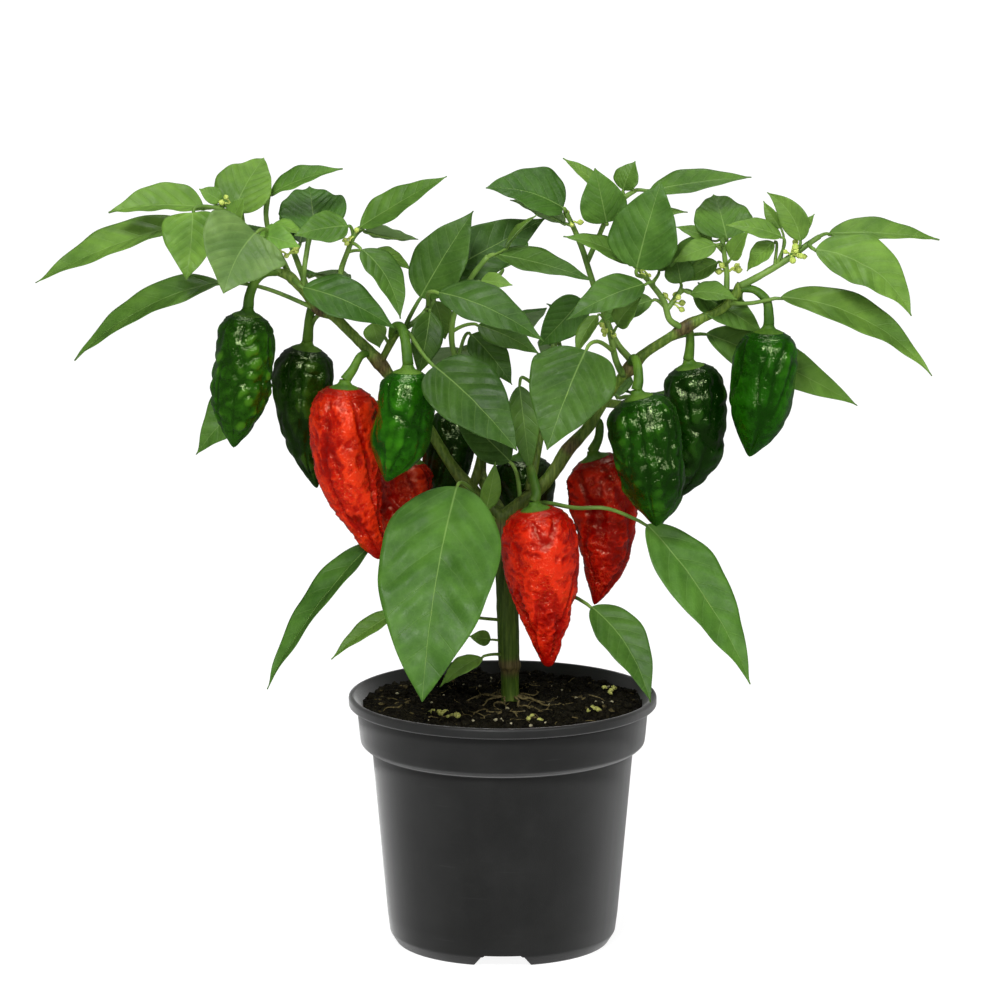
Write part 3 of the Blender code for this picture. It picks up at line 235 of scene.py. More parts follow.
# Leaves of a twig, or single leaves on a limb. Each line: share of the way along it, blade base,
# blade tip, width, way the blade faces, fold in degrees and arch, then where they are not plain
# the sideways sweep and the outline.
LEAVES = read_leaves("""
A: 1, -123 -10 313.5, -162 -14 312, 20, 0 -0.6 0.8, 30 3
   0.8, -131 -2 306, -193 -8 282, 21, -0.25 -0.5 0.83, 18 3
   0.9, -127 -20 313, -129 -38 288, 25, -0.1 -0.85 0.5, 12 3 -1 broad
   0.9, -111 -4 311, -99 12 331, 25, -0.2 -0.9 0.35, 10 3 0 broad
   0.75, -111 -13 308, -106 -15 319, 9, -0.2 -0.8 0.5, 18 1
   0.9, -116 -9 316, -125 -8 321, 8, -0.3 -0.7 0.6, 15 1
   0.7, -106 -2 313, -97 2 318, 8, 0.2 -0.7 0.6, 15 1
B: 1, -96 5 317, -66 2 328, 13, -0.2 -0.55 0.8, 22 2
   0.5, -95 1 305, -82 -3 301, 8, 0 -0.5 0.85, 15 1
   0.35, -101 -30 306, -113 -54 285, 38, 0.22 -0.82 0.5, 14 3 2 broad
   0.3, -100 -16 303, -83 -22 299, 12, 0.1 -0.85 0.5, 12 2
C: 1, -78 11 301, -81 36 316, 29, 0 -0.75 0.65, 8 2 0 broad
D: 1, -59 0 304, -23 -6 326, 15, 0.25 -0.6 0.75, 15 1
   0.95, -64 -3 305, -86 -11 302, 15, 0 -0.8 0.5, 10 2
   0.9, -57 4 302, -35 7 298, 13, 0.1 0.55 0.8, 12 -1
   0.75, -54 9 292, -38 11 284, 9, 0.2 -0.6 0.75, 12 2
   0.85, -58 -9 296, -42 -27 270, 16, 0.45 -0.75 0.45, 12 3 -2
F: 0.15, -34 -9 276, -12 -9 312, 24, -0.3 -0.93 0.2, 10 2
   1, -26 4 283, 18 18 305, 23, 0.25 -0.85 0.45, 10 2
   0.6, -26 -27 281, 17 -41 263, 20, 0.15 -0.75 0.65, 12 5
   0.55, -30 -9 270, -35 -13 244, 14, 0.2 -0.93 0.25, 12 3
   0.8, -28 6 272, -24 11 255, 11, 0.1 -0.9 0.3, 12 2
   0.1, -28 -36 252, 6 -58 221, 31, 0.2 -0.88 0.45, 8 4 0 broad
H: 1, -3 -9 294, 38 -19 284, 14, 0.1 -0.6 0.8, 12 2
   0.97, 1 -11 297, 14 -19 312, 7, -0.85 -0.15 0.5, 20 1
   0.42, -10 -6 264, 15 -14 253, 14, 0.1 -0.75 0.6, 12 2
   0.75, -9 -16 284, 4 -21 283, 8, 0.1 -0.8 0.5, 12 1
T: 0.35, 33 11 272, 15 12 252, 17, 0.2 -0.93 0.2, 10 2 0 broad
H: 0.2, -13 0 259, 4 -7 239, 16, 0 -0.7 0.7, 12 2
K: 0.5, 34 -33 258, 18 -57 221, 36, -0.1 -0.9 0.4, 8 4 0 broad
   0.9, 39 -12 269, 30 -18 253, 8, -0.5 -0.8 0.2, 12 2
   0.7, 47 -20 266, 57 -26 279, 11, -0.4 -0.85 0.3, 12 2
L: 0.9, 55 -20 290, 65 -20 326, 30, -0.25 -0.95 0.1, 8 2 0 broad
   1, 53 -9 290, 25 -6 301, 12, -0.1 -0.5 0.85, 15 3
   0.75, 58 -24 284, 26 -36 271, 17, -0.15 -0.75 0.65, 12 3
   0.4, 62 -3 274, 39 -1 263, 12, -0.2 -0.75 0.6, 12 2
   0.8, 65 3 285, 69 8 304, 12, 0.2 -0.9 0.2, 10 2
M: 1, 78 -4 277, 97 -8 275, 12, 0.1 -0.6 0.8, 12 2
   0.8, 79 5 276, 109 6 258, 17, 0.2 -0.8 0.55, 10 2
   0.9, 74 3 280, 71 6 293, 13, 0.1 -0.9 0.4, 10 1 0 broad
N: 1, 93 7 298, 88 26 314, 25, 0.1 -0.8 0.6, 8 2 0 broad
   0.6, 94 -8 292, 101 -16 305, 9, -0.4 -0.85 0.3, 12 1
   0.9, 88 -3 297, 70 -8 290, 10, -0.1 -0.8 0.55, 12 2
   0.5, 89 5 288.5, 75 6 280, 9, -0.1 -0.8 0.5, 12 1
   1, 87 10 297, 72 14 302, 7, 0 -0.7 0.7, 12 1
   0.8, 86 9 295, 68 14 285, 13, -0.1 -0.9 0.4, 12 2
O: 0.6, 123 -5 299, 109 -4 319, 12, -0.3 -0.85 0.4, 16 2 3
   0.5, 115 3 303, 108 6 314, 6, -0.5 -0.8 0.3, 15 1
   0.65, 123 1 301, 129 3 309, 5, -0.3 -0.8 0.5, 15 0
   0.45, 115 -6 301, 92 -8 306, 10, 0 -0.7 0.7, 12 2
   0.42, 112 -2 298, 101 -3 286, 10, -0.5 -0.7 0.4, 12 1
   1, 135 2 301, 181 4 298, 14, 0 -0.55 0.83, 22 2
   0.85, 129 -9 296, 168 -25 271, 26, 0.35 -0.75 0.55, 10 4 -5
T: 1, 25 0 312, -7 -4 321, 24, 0 -0.7 0.7, 22 3 1 broad
   0.9, 26 4 305, 3 3 315, 14, 0 0.6 0.8, 12 1
U: 0.5, 43 -1 306, 38 -3 329, 20, 0 -0.95 0.2, 10 2 0 broad
   0.7, 42 9 318, 25 12 331, 7, -0.1 -0.6 0.8, 12 1
   0.85, 50 10 318, 55 11 330, 12, -0.3 -0.8 0.4, 12 1
   1, 61 9 318, 103 6 324, 14, 0 -0.6 0.8, 15 1
   0.6, 56 13 307, 77 15 308, 6, 0 -0.7 0.7, 12 1
Y: 1, -93 34 294, -104 78 284, 24, -0.1 0.4 0.9, 10 6
   0.9, -85 36 292, -83 76 296, 22, 0.1 -0.3 0.95, 10 5
   0.5, -81 24 280, -66 64 262, 20, 0.1 0.4 0.9, 10 5
V: 1, -73 62 214, -84 100 194, 24, -0.3 0.5 0.8, 10 6
   0.8, -60 60 216, -44 102 204, 23, 0.1 0.5 0.85, 10 6
   0.4, -71 49 214, -86 66 198, 18, -0.6 0.2 0.75, 10 4
W: 0.8, -14 58 271, -32 98 272, 23, -0.2 0.1 0.97, 10 6
   1, 0 62 277, -2 106 276, 24, 0 0.1 1, 10 6
   0.6, 6 56 258, 10 100 240, 22, 0.1 0.4 0.9, 10 6
   0.3, -16 52 244, -24 94 220, 24, -0.2 0.5 0.85, 10 6
X: 1, 49 60 222, 38 100 216, 22, -0.1 0.3 0.95, 10 6
   0.9, 59 60 221, 70 100 204, 23, 0.1 0.5 0.85, 10 6
   0.5, 68 52 218, 84 90 198, 20, 0.3 0.5 0.8, 10 6
Z: 1, 105 37 248, 108 80 234, 23, 0.1 -0.3 0.95, 10 5
   0.8, 111 30 246, 126 66 226, 20, 0.2 0.3 0.93, 10 6
   0.5, 92 22 268, 88 58 262, 20, 0.1 0.5 0.85, 10 6
R: 1, 27 44 258, 32 90 246, 22, 0.1 0.3 0.95, 10 6
   0.7, 25 38 245, 22 82 224, 22, 0.2 0.5 0.85, 10 6
leaf_left_long on left: 0.78, -117 -6 282, -177 -12 250, 19, -0.3 -0.5 0.8, 14 7
leaf_left_dark on left: 0.95, -82 -14 281, -44 -22 265, 20, 0.2 -0.75 0.6, 10 4
leaf_left_back on left: 0.82, -99 28 236, -129 22 204, 22, -0.3 -0.85 0.4, 10 3
leaf_left_small on left_side: 0.6, -54 -2 264, -51 -4 254, 10, 0 -0.9 0.3, 10 1
leaf_fork_left on right: 0.07, 3 -3 206, -23 -4 230, 18, 0.3 -0.9 0.3, 10 2
leaf_fork_right on centre_right: 0.75, 7 2 237, 11.5 -5 201, 13, 0 -0.93 0.2, 10 2
leaf_fork_small on trunk: 0.95, -7 -7 186, -3 -9 207, 9, 0.3 -0.9 0.1, 12 1
leaf_front_large on left: 0.1, -19 -12 197, -33 -62 117, 50, -0.12 -0.93 0.35, 6 8 1 ovate
leaf_low_left on trunk: 0.72, -54 -5 172, -98 -30 115, 19, -0.62 -0.5 0.55, 20 4
leaf_low_inner on trunk: 0.52, -43 -20 146, -71 -32 128, 10, -0.3 -0.6 0.7, 18 2
leaf_soil_left on trunk: 0.36, -9 -10 124, -26 -26 115, 10, -0.3 -0.7 0.6, 12 2
leaf_soil_small on trunk: 0.42, -5 -3 130, -14 -6 132, 7, 0 -0.9 0.4, 12 0
leaf_right_low on trunk: 0.56, 37 -17 147, 61 -42 112, 20, 0.2 -0.8 0.5, 15 3 -3
leaf_right_large on right: 0.05, 60 -12 181, 103 -30 117, 27, 0.35 -0.75 0.5, 8 4 -2
leaf_right_long on right: 0.93, 115 -8 276, 177 -20 245, 19, 0.3 -0.65 0.7, 12 6 -5
leaf_right_back on right: 0.52, 85 14 257, 149 22 225, 21, 0.3 -0.85 0.45, 10 4
leaf_back_low_left on trunk: 0.8, -14 18 168, -34 64 138, 24, -0.3 0.55 0.75, 10 5
leaf_back_low_right on trunk: 0.6, 13 14 148, 19 56 128, 18, 0.1 0.5 0.85, 10 5
""")

# Extra points that the stalk of a single leaf passes on its way.
STALK_WAYS = {
    "leaf_left_long": [(-92, -5, 277), (-105, -6, 281)],
    "leaf_left_back": [(-79, 14, 262), (-84, 34, 247)],
    "leaf_fork_right": [(12, 10, 237), (8, 5, 240)],
    "leaf_low_left": [(-14, -3, 164), (-36, -4, 171)],
    "leaf_low_inner": [(-14, -8, 141), (-28, -15, 147)],
    "leaf_right_low": [(14, 0, 147), (27, -7, 150)],
    "leaf_right_large": [(17, -1, 188), (30, -12, 188), (44, -14, 188)],
    "leaf_right_long": [(103, -5, 273)],
    "leaf_right_back": [(61, 8, 250), (73, 11, 256)],
}

Pod = namedtuple("Pod", "stalk seat tip width bend shape kind tint bumpy")

# Pods: stalk points, seat of the calyx, tip, width, sideways bend, shape, kind, tint, bumpiness.
PODS = {
    "pod_left_outer": Pod(
        [(-93, -6, 286), (-98, -8, 286), (-102, -9, 283), (-104.5, -10, 277)],
        (-105.5, -10, 268.5), (-111.5, -12, 213.5), 24.6, 0.0, "blocky", "green",
        (0.015, 0.072, 0.0022), 1.15),
    "pod_left_dark": Pod(
        [(-78, -1, 270), (-79, 8, 270), (-80.5, 13, 264)],
        (-82, 16, 250), (-78, 18, 190.5), 25.5, 3.0, "tapered", "dark",
        (0.007, 0.028, 0.0012), 0.8),
    "pod_left_red": Pod(
        [(-55, -3, 252), (-59, -7, 251), (-62, -9, 246)],
        (-65.5, -10, 238), (-50.5, -13, 166.5), 29.0, 5.0, "long", "red",
        (0.4, 0.0055, 0.0009), 1.0),
    "pod_left_red_back": Pod(
        [(-46, 0, 240), (-43, 8, 236), (-40, 12, 222)],
        (-39.5, 12, 203), (-49.5, 8, 168), 22.0, -2.0, "blocky", "red",
        (0.33, 0.0045, 0.0008), 1.0),
    "pod_left_bright": Pod(
        [(-46, -6, 259), (-45, -13, 264), (-42, -22, 266), (-40, -27.5, 261)],
        (-39, -30, 248), (-48, -32, 203), 24.8, -2.0, "blocky", "green",
        (0.01, 0.08, 0.001), 0.45),
    "pod_behind_left": Pod(
        [(-8, 8, 222), (-12, 17, 230), (-16, 24, 230)],
        (-19, 28, 221), (-27, 29, 180), 21.5, 0.0, "blocky", "dark",
        (0.005, 0.025, 0.0012), 0.6),
    "pod_behind_fork": Pod(
        [(14, 3, 208), (12, 13, 214), (10, 21, 212)],
        (9, 24, 202), (10, 27, 152), 26.5, 0.0, "tapered", "dark",
        (0.006, 0.028, 0.0012), 0.6),
    "pod_front_red": Pod(
        [(12, -1, 197), (11.5, -8, 204), (12.5, -16, 202), (14, -20, 196)],
        (13.5, -21, 189), (19.0, -22, 122.5), 30.5, -1.0, "long", "red",
        (0.385, 0.004, 0.0009), 1.0),
    "pod_right_red": Pod(
        [(35, 2, 224), (40, 5, 221), (40, 7, 214)],
        (38.5, 8, 205), (38.5, 6, 143), 28.5, -5.0, "tapered", "red",
        (0.29, 0.0022, 0.0006), 1.0),
    "pod_right_green": Pod(
        [(53, 0, 246), (54, -11, 251), (55.5, -19, 250), (56, -23, 244)],
        (56, -24, 236.5), (63.5, -26, 183), 29.5, -1.5, "blocky", "green",
        (0.007, 0.047, 0.001), 0.8),
    "pod_right_dark": Pod(
        [(75, 0, 262), (77.5, 3, 260), (78, 5, 254)],
        (78, 6, 244), (73, 7, 188.5), 26.5, -4.0, "blocky", "dark",
        (0.0045, 0.027, 0.0012), 0.9),
    "pod_right_outer": Pod(
        [(97.5, 0, 278), (104, -2, 278), (109, -4, 274), (110, -5, 268)],
        (110, -5, 260.5), (102.5, -6, 208.5), 26.3, -1.5, "blocky", "green",
        (0.008, 0.068, 0.0008), 0.35),
    "pod_back_left": Pod(
        [(-56, 35, 222), (-58, 42, 220), (-58, 49, 215)],
        (-58, 51, 206), (-54, 54, 164), 23.0, 1.5, "blocky", "red",
        (0.35, 0.005, 0.0009), 1.0),
    "pod_back_right": Pod(
        [(60, 33, 221), (63, 42, 222), (64, 49, 218)],
        (64, 51, 209), (66, 55, 166), 23.0, -1.5, "blocky", "green",
        (0.012, 0.068, 0.0016), 0.8),
    "pod_back_low": Pod(
        [(-6, 20, 203), (3, 44, 207), (10, 54, 203)],
        (11, 59, 194), (13, 62, 150), 22.0, 1.5, "tapered", "green",
        (0.01, 0.058, 0.0014), 0.7),
}

# Width of a pod along its length, as shares of its largest radius at shares of its length.
POD_SHAPES = {
    "blocky": [(0.0, 0.52), (0.03, 0.74), (0.09, 0.92), (0.22, 1.0), (0.4, 0.97), (0.56, 0.98),
        (0.7, 0.88), (0.83, 0.6), (0.93, 0.28), (1.0, 0.07)],
    "tapered": [(0.0, 0.52), (0.03, 0.74), (0.09, 0.93), (0.2, 1.0), (0.36, 0.94), (0.53, 0.84),
        (0.68, 0.68), (0.82, 0.44), (0.93, 0.2), (1.0, 0.06)],
    "long": [(0.0, 0.52), (0.03, 0.76), (0.09, 0.94), (0.18, 1.0), (0.36, 0.97), (0.52, 0.86),
        (0.68, 0.68), (0.79, 0.47), (0.9, 0.31), (1.0, 0.13)],
}

# ---- Small helpers ----


def link(name, data):
    """A new object in the scene."""
    obj = bpy.data.objects.new(name, data)
    bpy.context.scene.collection.objects.link(obj)
    return obj


def smoothstep(low, high, x):
    t = min(max((x - low) / (high - low), 0.0), 1.0)
    return t * t * (3 - 2 * t)


def turns(count):
    """Even angles once round."""
    return [2 * math.pi * j / count for j in range(count)]


def arc(a, b, c, s):
    """The place at share s of a simple curve from a to c that is drawn towards b."""
    return a * (1 - s) ** 2 + b * (2 * s * (1 - s)) + c * s * s


def polar(reach, angle):
    return reach * math.cos(angle), reach * math.sin(angle)


def mark(name):
    """A number of its own for each name, so that no two pods are twins."""
    return sum(ord(letter) for letter in name)


class Mesher:
    """Collects vertices, faces and per-vertex values for one object."""

    def __init__(self):
        self.verts = []
        self.faces = []
        self.mats = []
        self.vals = {}

    def vert(self, place, **values):
        for key, value in values.items():
            self.vals.setdefault(key, {})[len(self.verts)] = value
        self.verts.append(tuple(place))
        return len(self.verts) - 1

    def face(self, corners, mat=0):
        self.faces.append(tuple(corners))
        self.mats.append(mat)

    def bridge(self, rows, mat=0):
        """Faces between each pair of neighbouring rings."""
        for a, b in zip(rows, rows[1:]):
            for j in range(len(a)):
                k = (j + 1) % len(a)
                self.face((a[j], a[k], b[k], b[j]), mat)

    def fan(self, ring, middle, mat=0):
        """Faces from a ring to one vertex in its middle."""
        for j in range(len(ring)):
            self.face((ring[j], ring[(j + 1) % len(ring)], middle), mat)

    def build(self, name, materials, slot, nodes=()):
        mesh = bpy.data.meshes.new(name)
        mesh.from_pydata([(x * MM, y * MM, z * MM) for x, y, z in self.verts], [], self.faces)
        for mat in materials:
            mesh.materials.append(mat)
        mesh.polygons.foreach_set("material_index", self.mats)
        for key, values in self.vals.items():
            layer = mesh.attributes.new(key, "FLOAT_VECTOR", "POINT")
            flat = [0.0] * (3 * len(self.verts))
            for index, value in values.items():
                flat[3 * index:3 * index + 3] = value
            layer.data.foreach_set("vector", flat)
        mesh.validate()
        mesh.shade_smooth()
        bm = bmesh.new()
        bm.from_mesh(mesh)
        bmesh.ops.recalc_face_normals(bm, faces=bm.faces)
        bm.to_mesh(mesh)
        bm.free()
        obj = link(name, mesh)
        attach(obj, "root")
        if nodes:
            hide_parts(*nodes)
        return obj


def spline(spots, per_span):
    """A smooth path through the given places, with any number of values each."""
    first = [2 * a - b for a, b in zip(spots[0], spots[1])]
    last = [2 * a - b for a, b in zip(spots[-1], spots[-2])]
    ends = [first, *spots, last]
    path = []
    for i in range(1, len(ends) - 2):
        for step in range(per_span):
            u = step / per_span
            path.append([0.5 * (2 * b + (c - a) * u + (2 * a - 5 * b + 4 * c - d) * u * u
                                + (3 * b - 3 * c + d - a) * u ** 3)
                         for a, b, c, d in zip(*ends[i - 1:i + 3])])
    path.append(ends[-2])
    return path


def along(points, t):
    """The place at share t of the length of a list of joints."""
    spots = [Vector(p[:3]) for p in points]
    lengths = [(b - a).length for a, b in zip(spots, spots[1:])]
    left = t * sum(lengths)
    for a, b, length in zip(spots, spots[1:], lengths):
        if left <= length:
            return a.lerp(b, left / length)
        left -= length
    return spots[-1]


def frames(spots):
    """Tangent and two cross directions at each place of a path, carried along without twist."""
    out = []
    carried = None
    for i in range(len(spots)):
        ahead = spots[min(i + 1, len(spots) - 1)] - spots[max(i - 1, 0)]
        ahead = ahead.normalized() if ahead.length > 1e-6 else Vector((0, 0, 1))
        if carried is None:
            carried = DEPTH if abs(ahead.y) < 0.8 else Vector((1, 0, 0))
        carried = (carried - ahead * carried.dot(ahead)).normalized()
        out.append((ahead, carried, ahead.cross(carried)))
    return out


def tube(mesher, points, sides, mat=0, bumps=0.0, seed=0.0, skin=None, ridge=0.0):
    """A closed round tube along x, y, z, radius points, with small bumps and three ridges."""
    spots = [Vector(p[:3]) for p in points]
    rows = []
    for point, spot, (_, a, b) in zip(points, spots, frames(spots)):
        values = {"skin": skin(spot)} if skin else {}
        ring = []
        for angle in turns(sides):
            way = a * math.cos(angle) + b * math.sin(angle)
            radius = point[3]
            if bumps:
                radius += bumps * noise.noise((spot + way * radius) * 0.45 + Vector((seed, 0, 0)))
            if ridge:
                radius += ridge * math.cos(3 * angle + seed)
            ring.append(mesher.vert(spot + way * radius, **values))
        rows.append(ring)
    mesher.bridge(rows, mat)
    for ring in (rows[0], rows[-1]):
        centre = Vector((0, 0, 0))
        for index in ring:
            centre += Vector(mesher.verts[index])
        values = {"skin": mesher.vals["skin"][ring[0]]} if skin else {}
        mesher.fan(ring, mesher.vert(centre / sides, **values), mat)


# ---- Node-tree helpers ----


class Value:
    """The output of a node, for use in plain arithmetic."""

    def __init__(self, tree, socket):
        self.tree = tree
        self.socket = socket

    def __add__(self, other):
        return self.tree.math("ADD", self, other)

    def __sub__(self, other):
        return self.tree.math("SUBTRACT", self, other)

    def __rsub__(self, other):
        return self.tree.math("SUBTRACT", other, self)

    def __mul__(self, other):
        return self.tree.math("MULTIPLY", self, other)

    def __truediv__(self, other):
        return self.tree.math("DIVIDE", self, other)

    def __abs__(self):
        return self.tree.math("ABSOLUTE", self)


class Tree:
    """Short calls for building a material's nodes."""

    def __init__(self, name):
        self.mat = bpy.data.materials.new(name)
        self.mat.use_nodes = True
        self.nodes = self.mat.node_tree.nodes
        self.links = self.mat.node_tree.links
        self.shader = self.nodes["Principled BSDF"]

    def put(self, socket, value):
        """Link or set one input."""
        if isinstance(value, Value):
            self.links.new(value.socket, socket)
        elif value is not None:
            if isinstance(value, tuple) and len(value) == 3 and len(socket.default_value) == 4:
                value += (1.0,)
            socket.default_value = value

    def add(self, kind, output, inputs, **settings):
        """One node with its settings and its inputs by name or number; gives one output."""
        node = self.nodes.new("ShaderNode" + kind)
        for key, value in settings.items():
            setattr(node, key, value)
        for key, value in inputs.items():
            self.put(node.inputs[key], value)
        return Value(self, node.outputs[output])

    def math(self, kind, *values, clamp=False):
        return self.add("Math", 0, dict(enumerate(values)), operation=kind, use_clamp=clamp)

    def ramp(self, value, low, high, out_low=0.0, out_high=1.0):
        values = (value, low, high, out_low, out_high)
        return self.add("MapRange", 0, dict(enumerate(values)), interpolation_type="SMOOTHSTEP")

    def mix(self, share, a, b, blend="MIX"):
        return self.add("Mix", 2, {0: share, 6: a, 7: b}, data_type="RGBA", blend_type=blend)

    def attribute(self, name):
        return self.add("Attribute", "Vector", {}, attribute_name=name)

    def split(self, vector):
        parts = self.add("SeparateXYZ", 0, {0: vector}).socket.node.outputs
        return [Value(self, part) for part in parts]

    def place(self, scale=(1.0, 1.0, 1.0)):
        spot = self.add("TexCoord", "Object", {})
        return self.add("Mapping", 0, {"Vector": spot, "Scale": scale})

    def noise(self, scale, detail=3.0, rough=0.5, vector=None, distortion=0.0, output="Fac"):
        return self.add("TexNoise", output, {
            "Scale": scale, "Detail": detail, "Roughness": rough, "Distortion": distortion,
            "Vector": vector or self.place()})

    def voronoi(self, scale, feature="F1", vector=None):
        return self.add("TexVoronoi", "Distance",
                        {"Scale": scale, "Vector": vector or self.place()}, feature=feature)

    def bump(self, height, distance, strength):
        return self.add("Bump", 0, {"Distance": distance, "Strength": strength, "Height": height})

    def finish(self, colour, rough, normal=None, **fixed):
        """Give the shader its colour, roughness, normal and fixed sockets."""
        sockets = {"Base Color": colour, "Roughness": rough, "Normal": normal}
        sockets.update((key.replace("_", " "), value) for key, value in fixed.items())
        for key, value in sockets.items():
            self.put(self.shader.inputs[key], value)
        return self.mat


# ---- Materials ----


def leaf_material():
    """Leaf: pale midrib and side veins, fine net, painted shade along and beside the veins, paler
    underside, light passing through.
    """
    t = Tree("leaf")
    u, v, tone = t.split(t.attribute("leaf"))
    wide, long, under = t.split(t.attribute("size"))
    off = abs(u) * wide
    rib_width = t.ramp(v, 0.0, 1.0, 0.46, 0.10) * t.ramp(wide, 3.0, 22.0, 0.5, 1.0)
    rib = 1.0 - t.ramp(off / rib_width, 0.35, 1.25)
    spacing = long / VEINS
    run = v * long - off * VEIN_SLANT - off * off / wide * VEIN_CURL
    phase = t.math("FRACT", run / spacing + (tone + t.math("SIGN", u) * VEIN_SHIFT))
    away = abs(phase - 0.5)
    side = 1.0 - t.ramp(away * spacing, 0.10, 0.55)
    side = side * (1.0 - t.ramp(abs(u), 0.55, 1.0))
    net_line = 1.0 - t.ramp(t.voronoi(420.0, "DISTANCE_TO_EDGE"), 0.0, 0.16)
    patches = t.noise(55.0, 4.0, 0.6)
    fine = t.noise(900.0, 3.0, 0.6)
    # Painted shade: darker next to each side vein and on one side of it, so the quilted blade
    # looks lit from one side.
    vein_shade = t.ramp(away, 0.0, 0.42, 0.94, 1.02) * t.ramp(phase, 0.0, 1.0, 0.97, 1.03)
    vein_shade = t.add("CombineColor", 0, {0: vein_shade, 1: vein_shade, 2: vein_shade})
    tint = t.mix(1.0, t.attribute("tint"), vein_shade, "MULTIPLY")
    darker = t.mix(1.0, tint, (0.58, 0.64, 0.55), "MULTIPLY")
    lighter = t.mix(1.0, tint, (1.30, 1.20, 1.15), "MULTIPLY")
    colour = t.mix(t.ramp(patches, 0.30, 0.72), darker, lighter)
    colour = t.mix(fine * 0.25, colour, tint)
    colour = t.mix(net_line * 0.05, colour, (0.17, 0.33, 0.07))
    colour = t.mix(side * 0.07, colour, (0.24, 0.42, 0.10))
    colour = t.mix(rib * 0.46, colour, (0.24, 0.38, 0.10))
    colour = t.mix(under, colour, t.mix(0.55, colour, (0.26, 0.40, 0.16)))
    height = fine * 0.20 - net_line * 0.06 - t.math("MAXIMUM", side, rib) * 0.28
    normal = t.bump(height, 0.0005, 0.55)
    rough = t.ramp(t.noise(240.0, 2.0), 0.25, 0.8, 0.38, 0.56)
    t.finish(colour, rough, normal, Specular_IOR_Level=0.20)
    through = t.mix(1.0, colour, (1.25, 1.35, 0.45), "MULTIPLY")
    glow = t.add("BsdfTranslucent", 0, {"Color": through, "Normal": normal})
    both = t.add("MixShader", 0, {0: LEAF_GLOW, 1: Value(t, t.shader.outputs[0]), 2: glow})
    t.put(t.nodes["Material Output"].inputs["Surface"], both)
    return t.mat


def stalk_material():
    """Young twigs and leaf stalks: light green, a little ribbed."""
    t = Tree("stalk")
    streak = t.noise(60.0, 3.0, 0.6)
    spots = t.noise(700.0, 2.0)
    colour = t.mix(t.ramp(streak, 0.3, 0.7), (0.055, 0.128, 0.014), (0.135, 0.235, 0.036))
    colour = t.mix(spots * 0.20, colour, (0.22, 0.32, 0.09))
    return t.finish(colour, 0.45, t.bump(spots, 0.0003, 0.4), Specular_IOR_Level=0.25)


def bark_material():
    """Stem: lighter green above and a darker green lower down, painted shade under the crown;
    brown at joints and at the foot, with fine lengthwise streaks.
    """
    t = Tree("bark")
    brown, _, kind = t.split(t.attribute("skin"))
    streaks = t.noise(1.0, 4.0, 0.65, t.place((900.0, 900.0, 70.0)))
    blotch = t.noise(90.0, 4.0, 0.6)
    grain = t.ramp(streaks, 0.3, 0.75)
    dark_tone_and_shade = t.mix(grain, (0.022, 0.052, 0.002), (0.078, 0.132, 0.012))
    fresh = t.mix(grain, (0.050, 0.105, 0.008), (0.150, 0.225, 0.032))
    # Painted shade: below the crown the trunk is a darker green than the limbs above.
    green = t.mix(t.ramp(t.split(t.place())[2], 0.180, 0.235), dark_tone_and_shade, fresh)
    pods = t.mix(t.ramp(blotch, 0.3, 0.7), (0.024, 0.078, 0.004), (0.082, 0.172, 0.014))
    woody = t.mix(t.ramp(streaks, 0.25, 0.75), (0.022, 0.015, 0.004), (0.130, 0.105, 0.035))
    share = t.math("ADD", brown, (blotch - 0.5) * 0.9, clamp=True) * t.ramp(brown, 0.0, 0.15)
    colour = t.mix(share, t.mix(kind, green, pods), woody)
    height = streaks + t.noise(1200.0, 2.0) * 0.4
    return t.finish(colour, t.ramp(blotch, 0.2, 0.8, 0.42, 0.62), t.bump(height, 0.0006, 0.6),
                    Specular_IOR_Level=0.22)


def pod_material(name, low, glow, gloss, rough, glint_lines):
    """Pod skin: glossy, with random darker patches, painted shade in the wrinkles, painted
    highlights on the swellings and a net of painted glints.
    """
    t = Tree(name)
    rise = t.split(t.attribute("skin"))[0]
    tint = t.attribute("tint")
    patches = t.noise(70.0, 4.0, 0.55, distortion=0.6)
    mottle = t.noise(300.0, 3.0, 0.6)
    fine = t.noise(1500.0, 2.0)
    dark_tone_and_shade = t.mix(1.0, tint, low, "MULTIPLY")
    highlight_tint = t.mix(1.0, tint, glow, "MULTIPLY")
    share = patches * 0.6 + mottle * 0.4
    colour = t.mix(t.ramp(share, 0.36, 0.64), dark_tone_and_shade, tint)
    # Painted highlight on the swellings.
    colour = t.mix(t.ramp(rise, 0.10, 0.80, 0.0, 0.85), colour, highlight_tint)
    # Painted shade in the wrinkles and creases.
    colour = t.mix(t.ramp(rise, -0.95, 0.0, 0.85, 0.0), colour, dark_tone_and_shade)
    # Painted glints: a net of thin light orange lines over the red skin, standing for small
    # reflections on its wrinkles; the same lines also raise the bump.
    cloud = t.noise(260.0, 2.0, output="Color")
    bent = t.add("VectorMath", 0, {0: cloud, 1: (0.0022, 0.0022, 0.0022), 2: t.place()},
                 operation="MULTIPLY_ADD")
    glint_net = t.voronoi(560.0, "DISTANCE_TO_EDGE", bent)
    line = (1.0 - t.ramp(glint_net, 0.0, 0.14)) * t.ramp(share, 0.44, 0.62)
    colour = t.mix(line * glint_lines, colour, (0.90, 0.13, 0.020))
    height = mottle + fine * 0.15 + line * (glint_lines * 2.0)
    return t.finish(colour, t.ramp(mottle, 0.25, 0.75, rough, rough + 0.10),
                    t.bump(height, 0.0012, 0.6), Specular_IOR_Level=0.55, Specular_Tint=gloss)


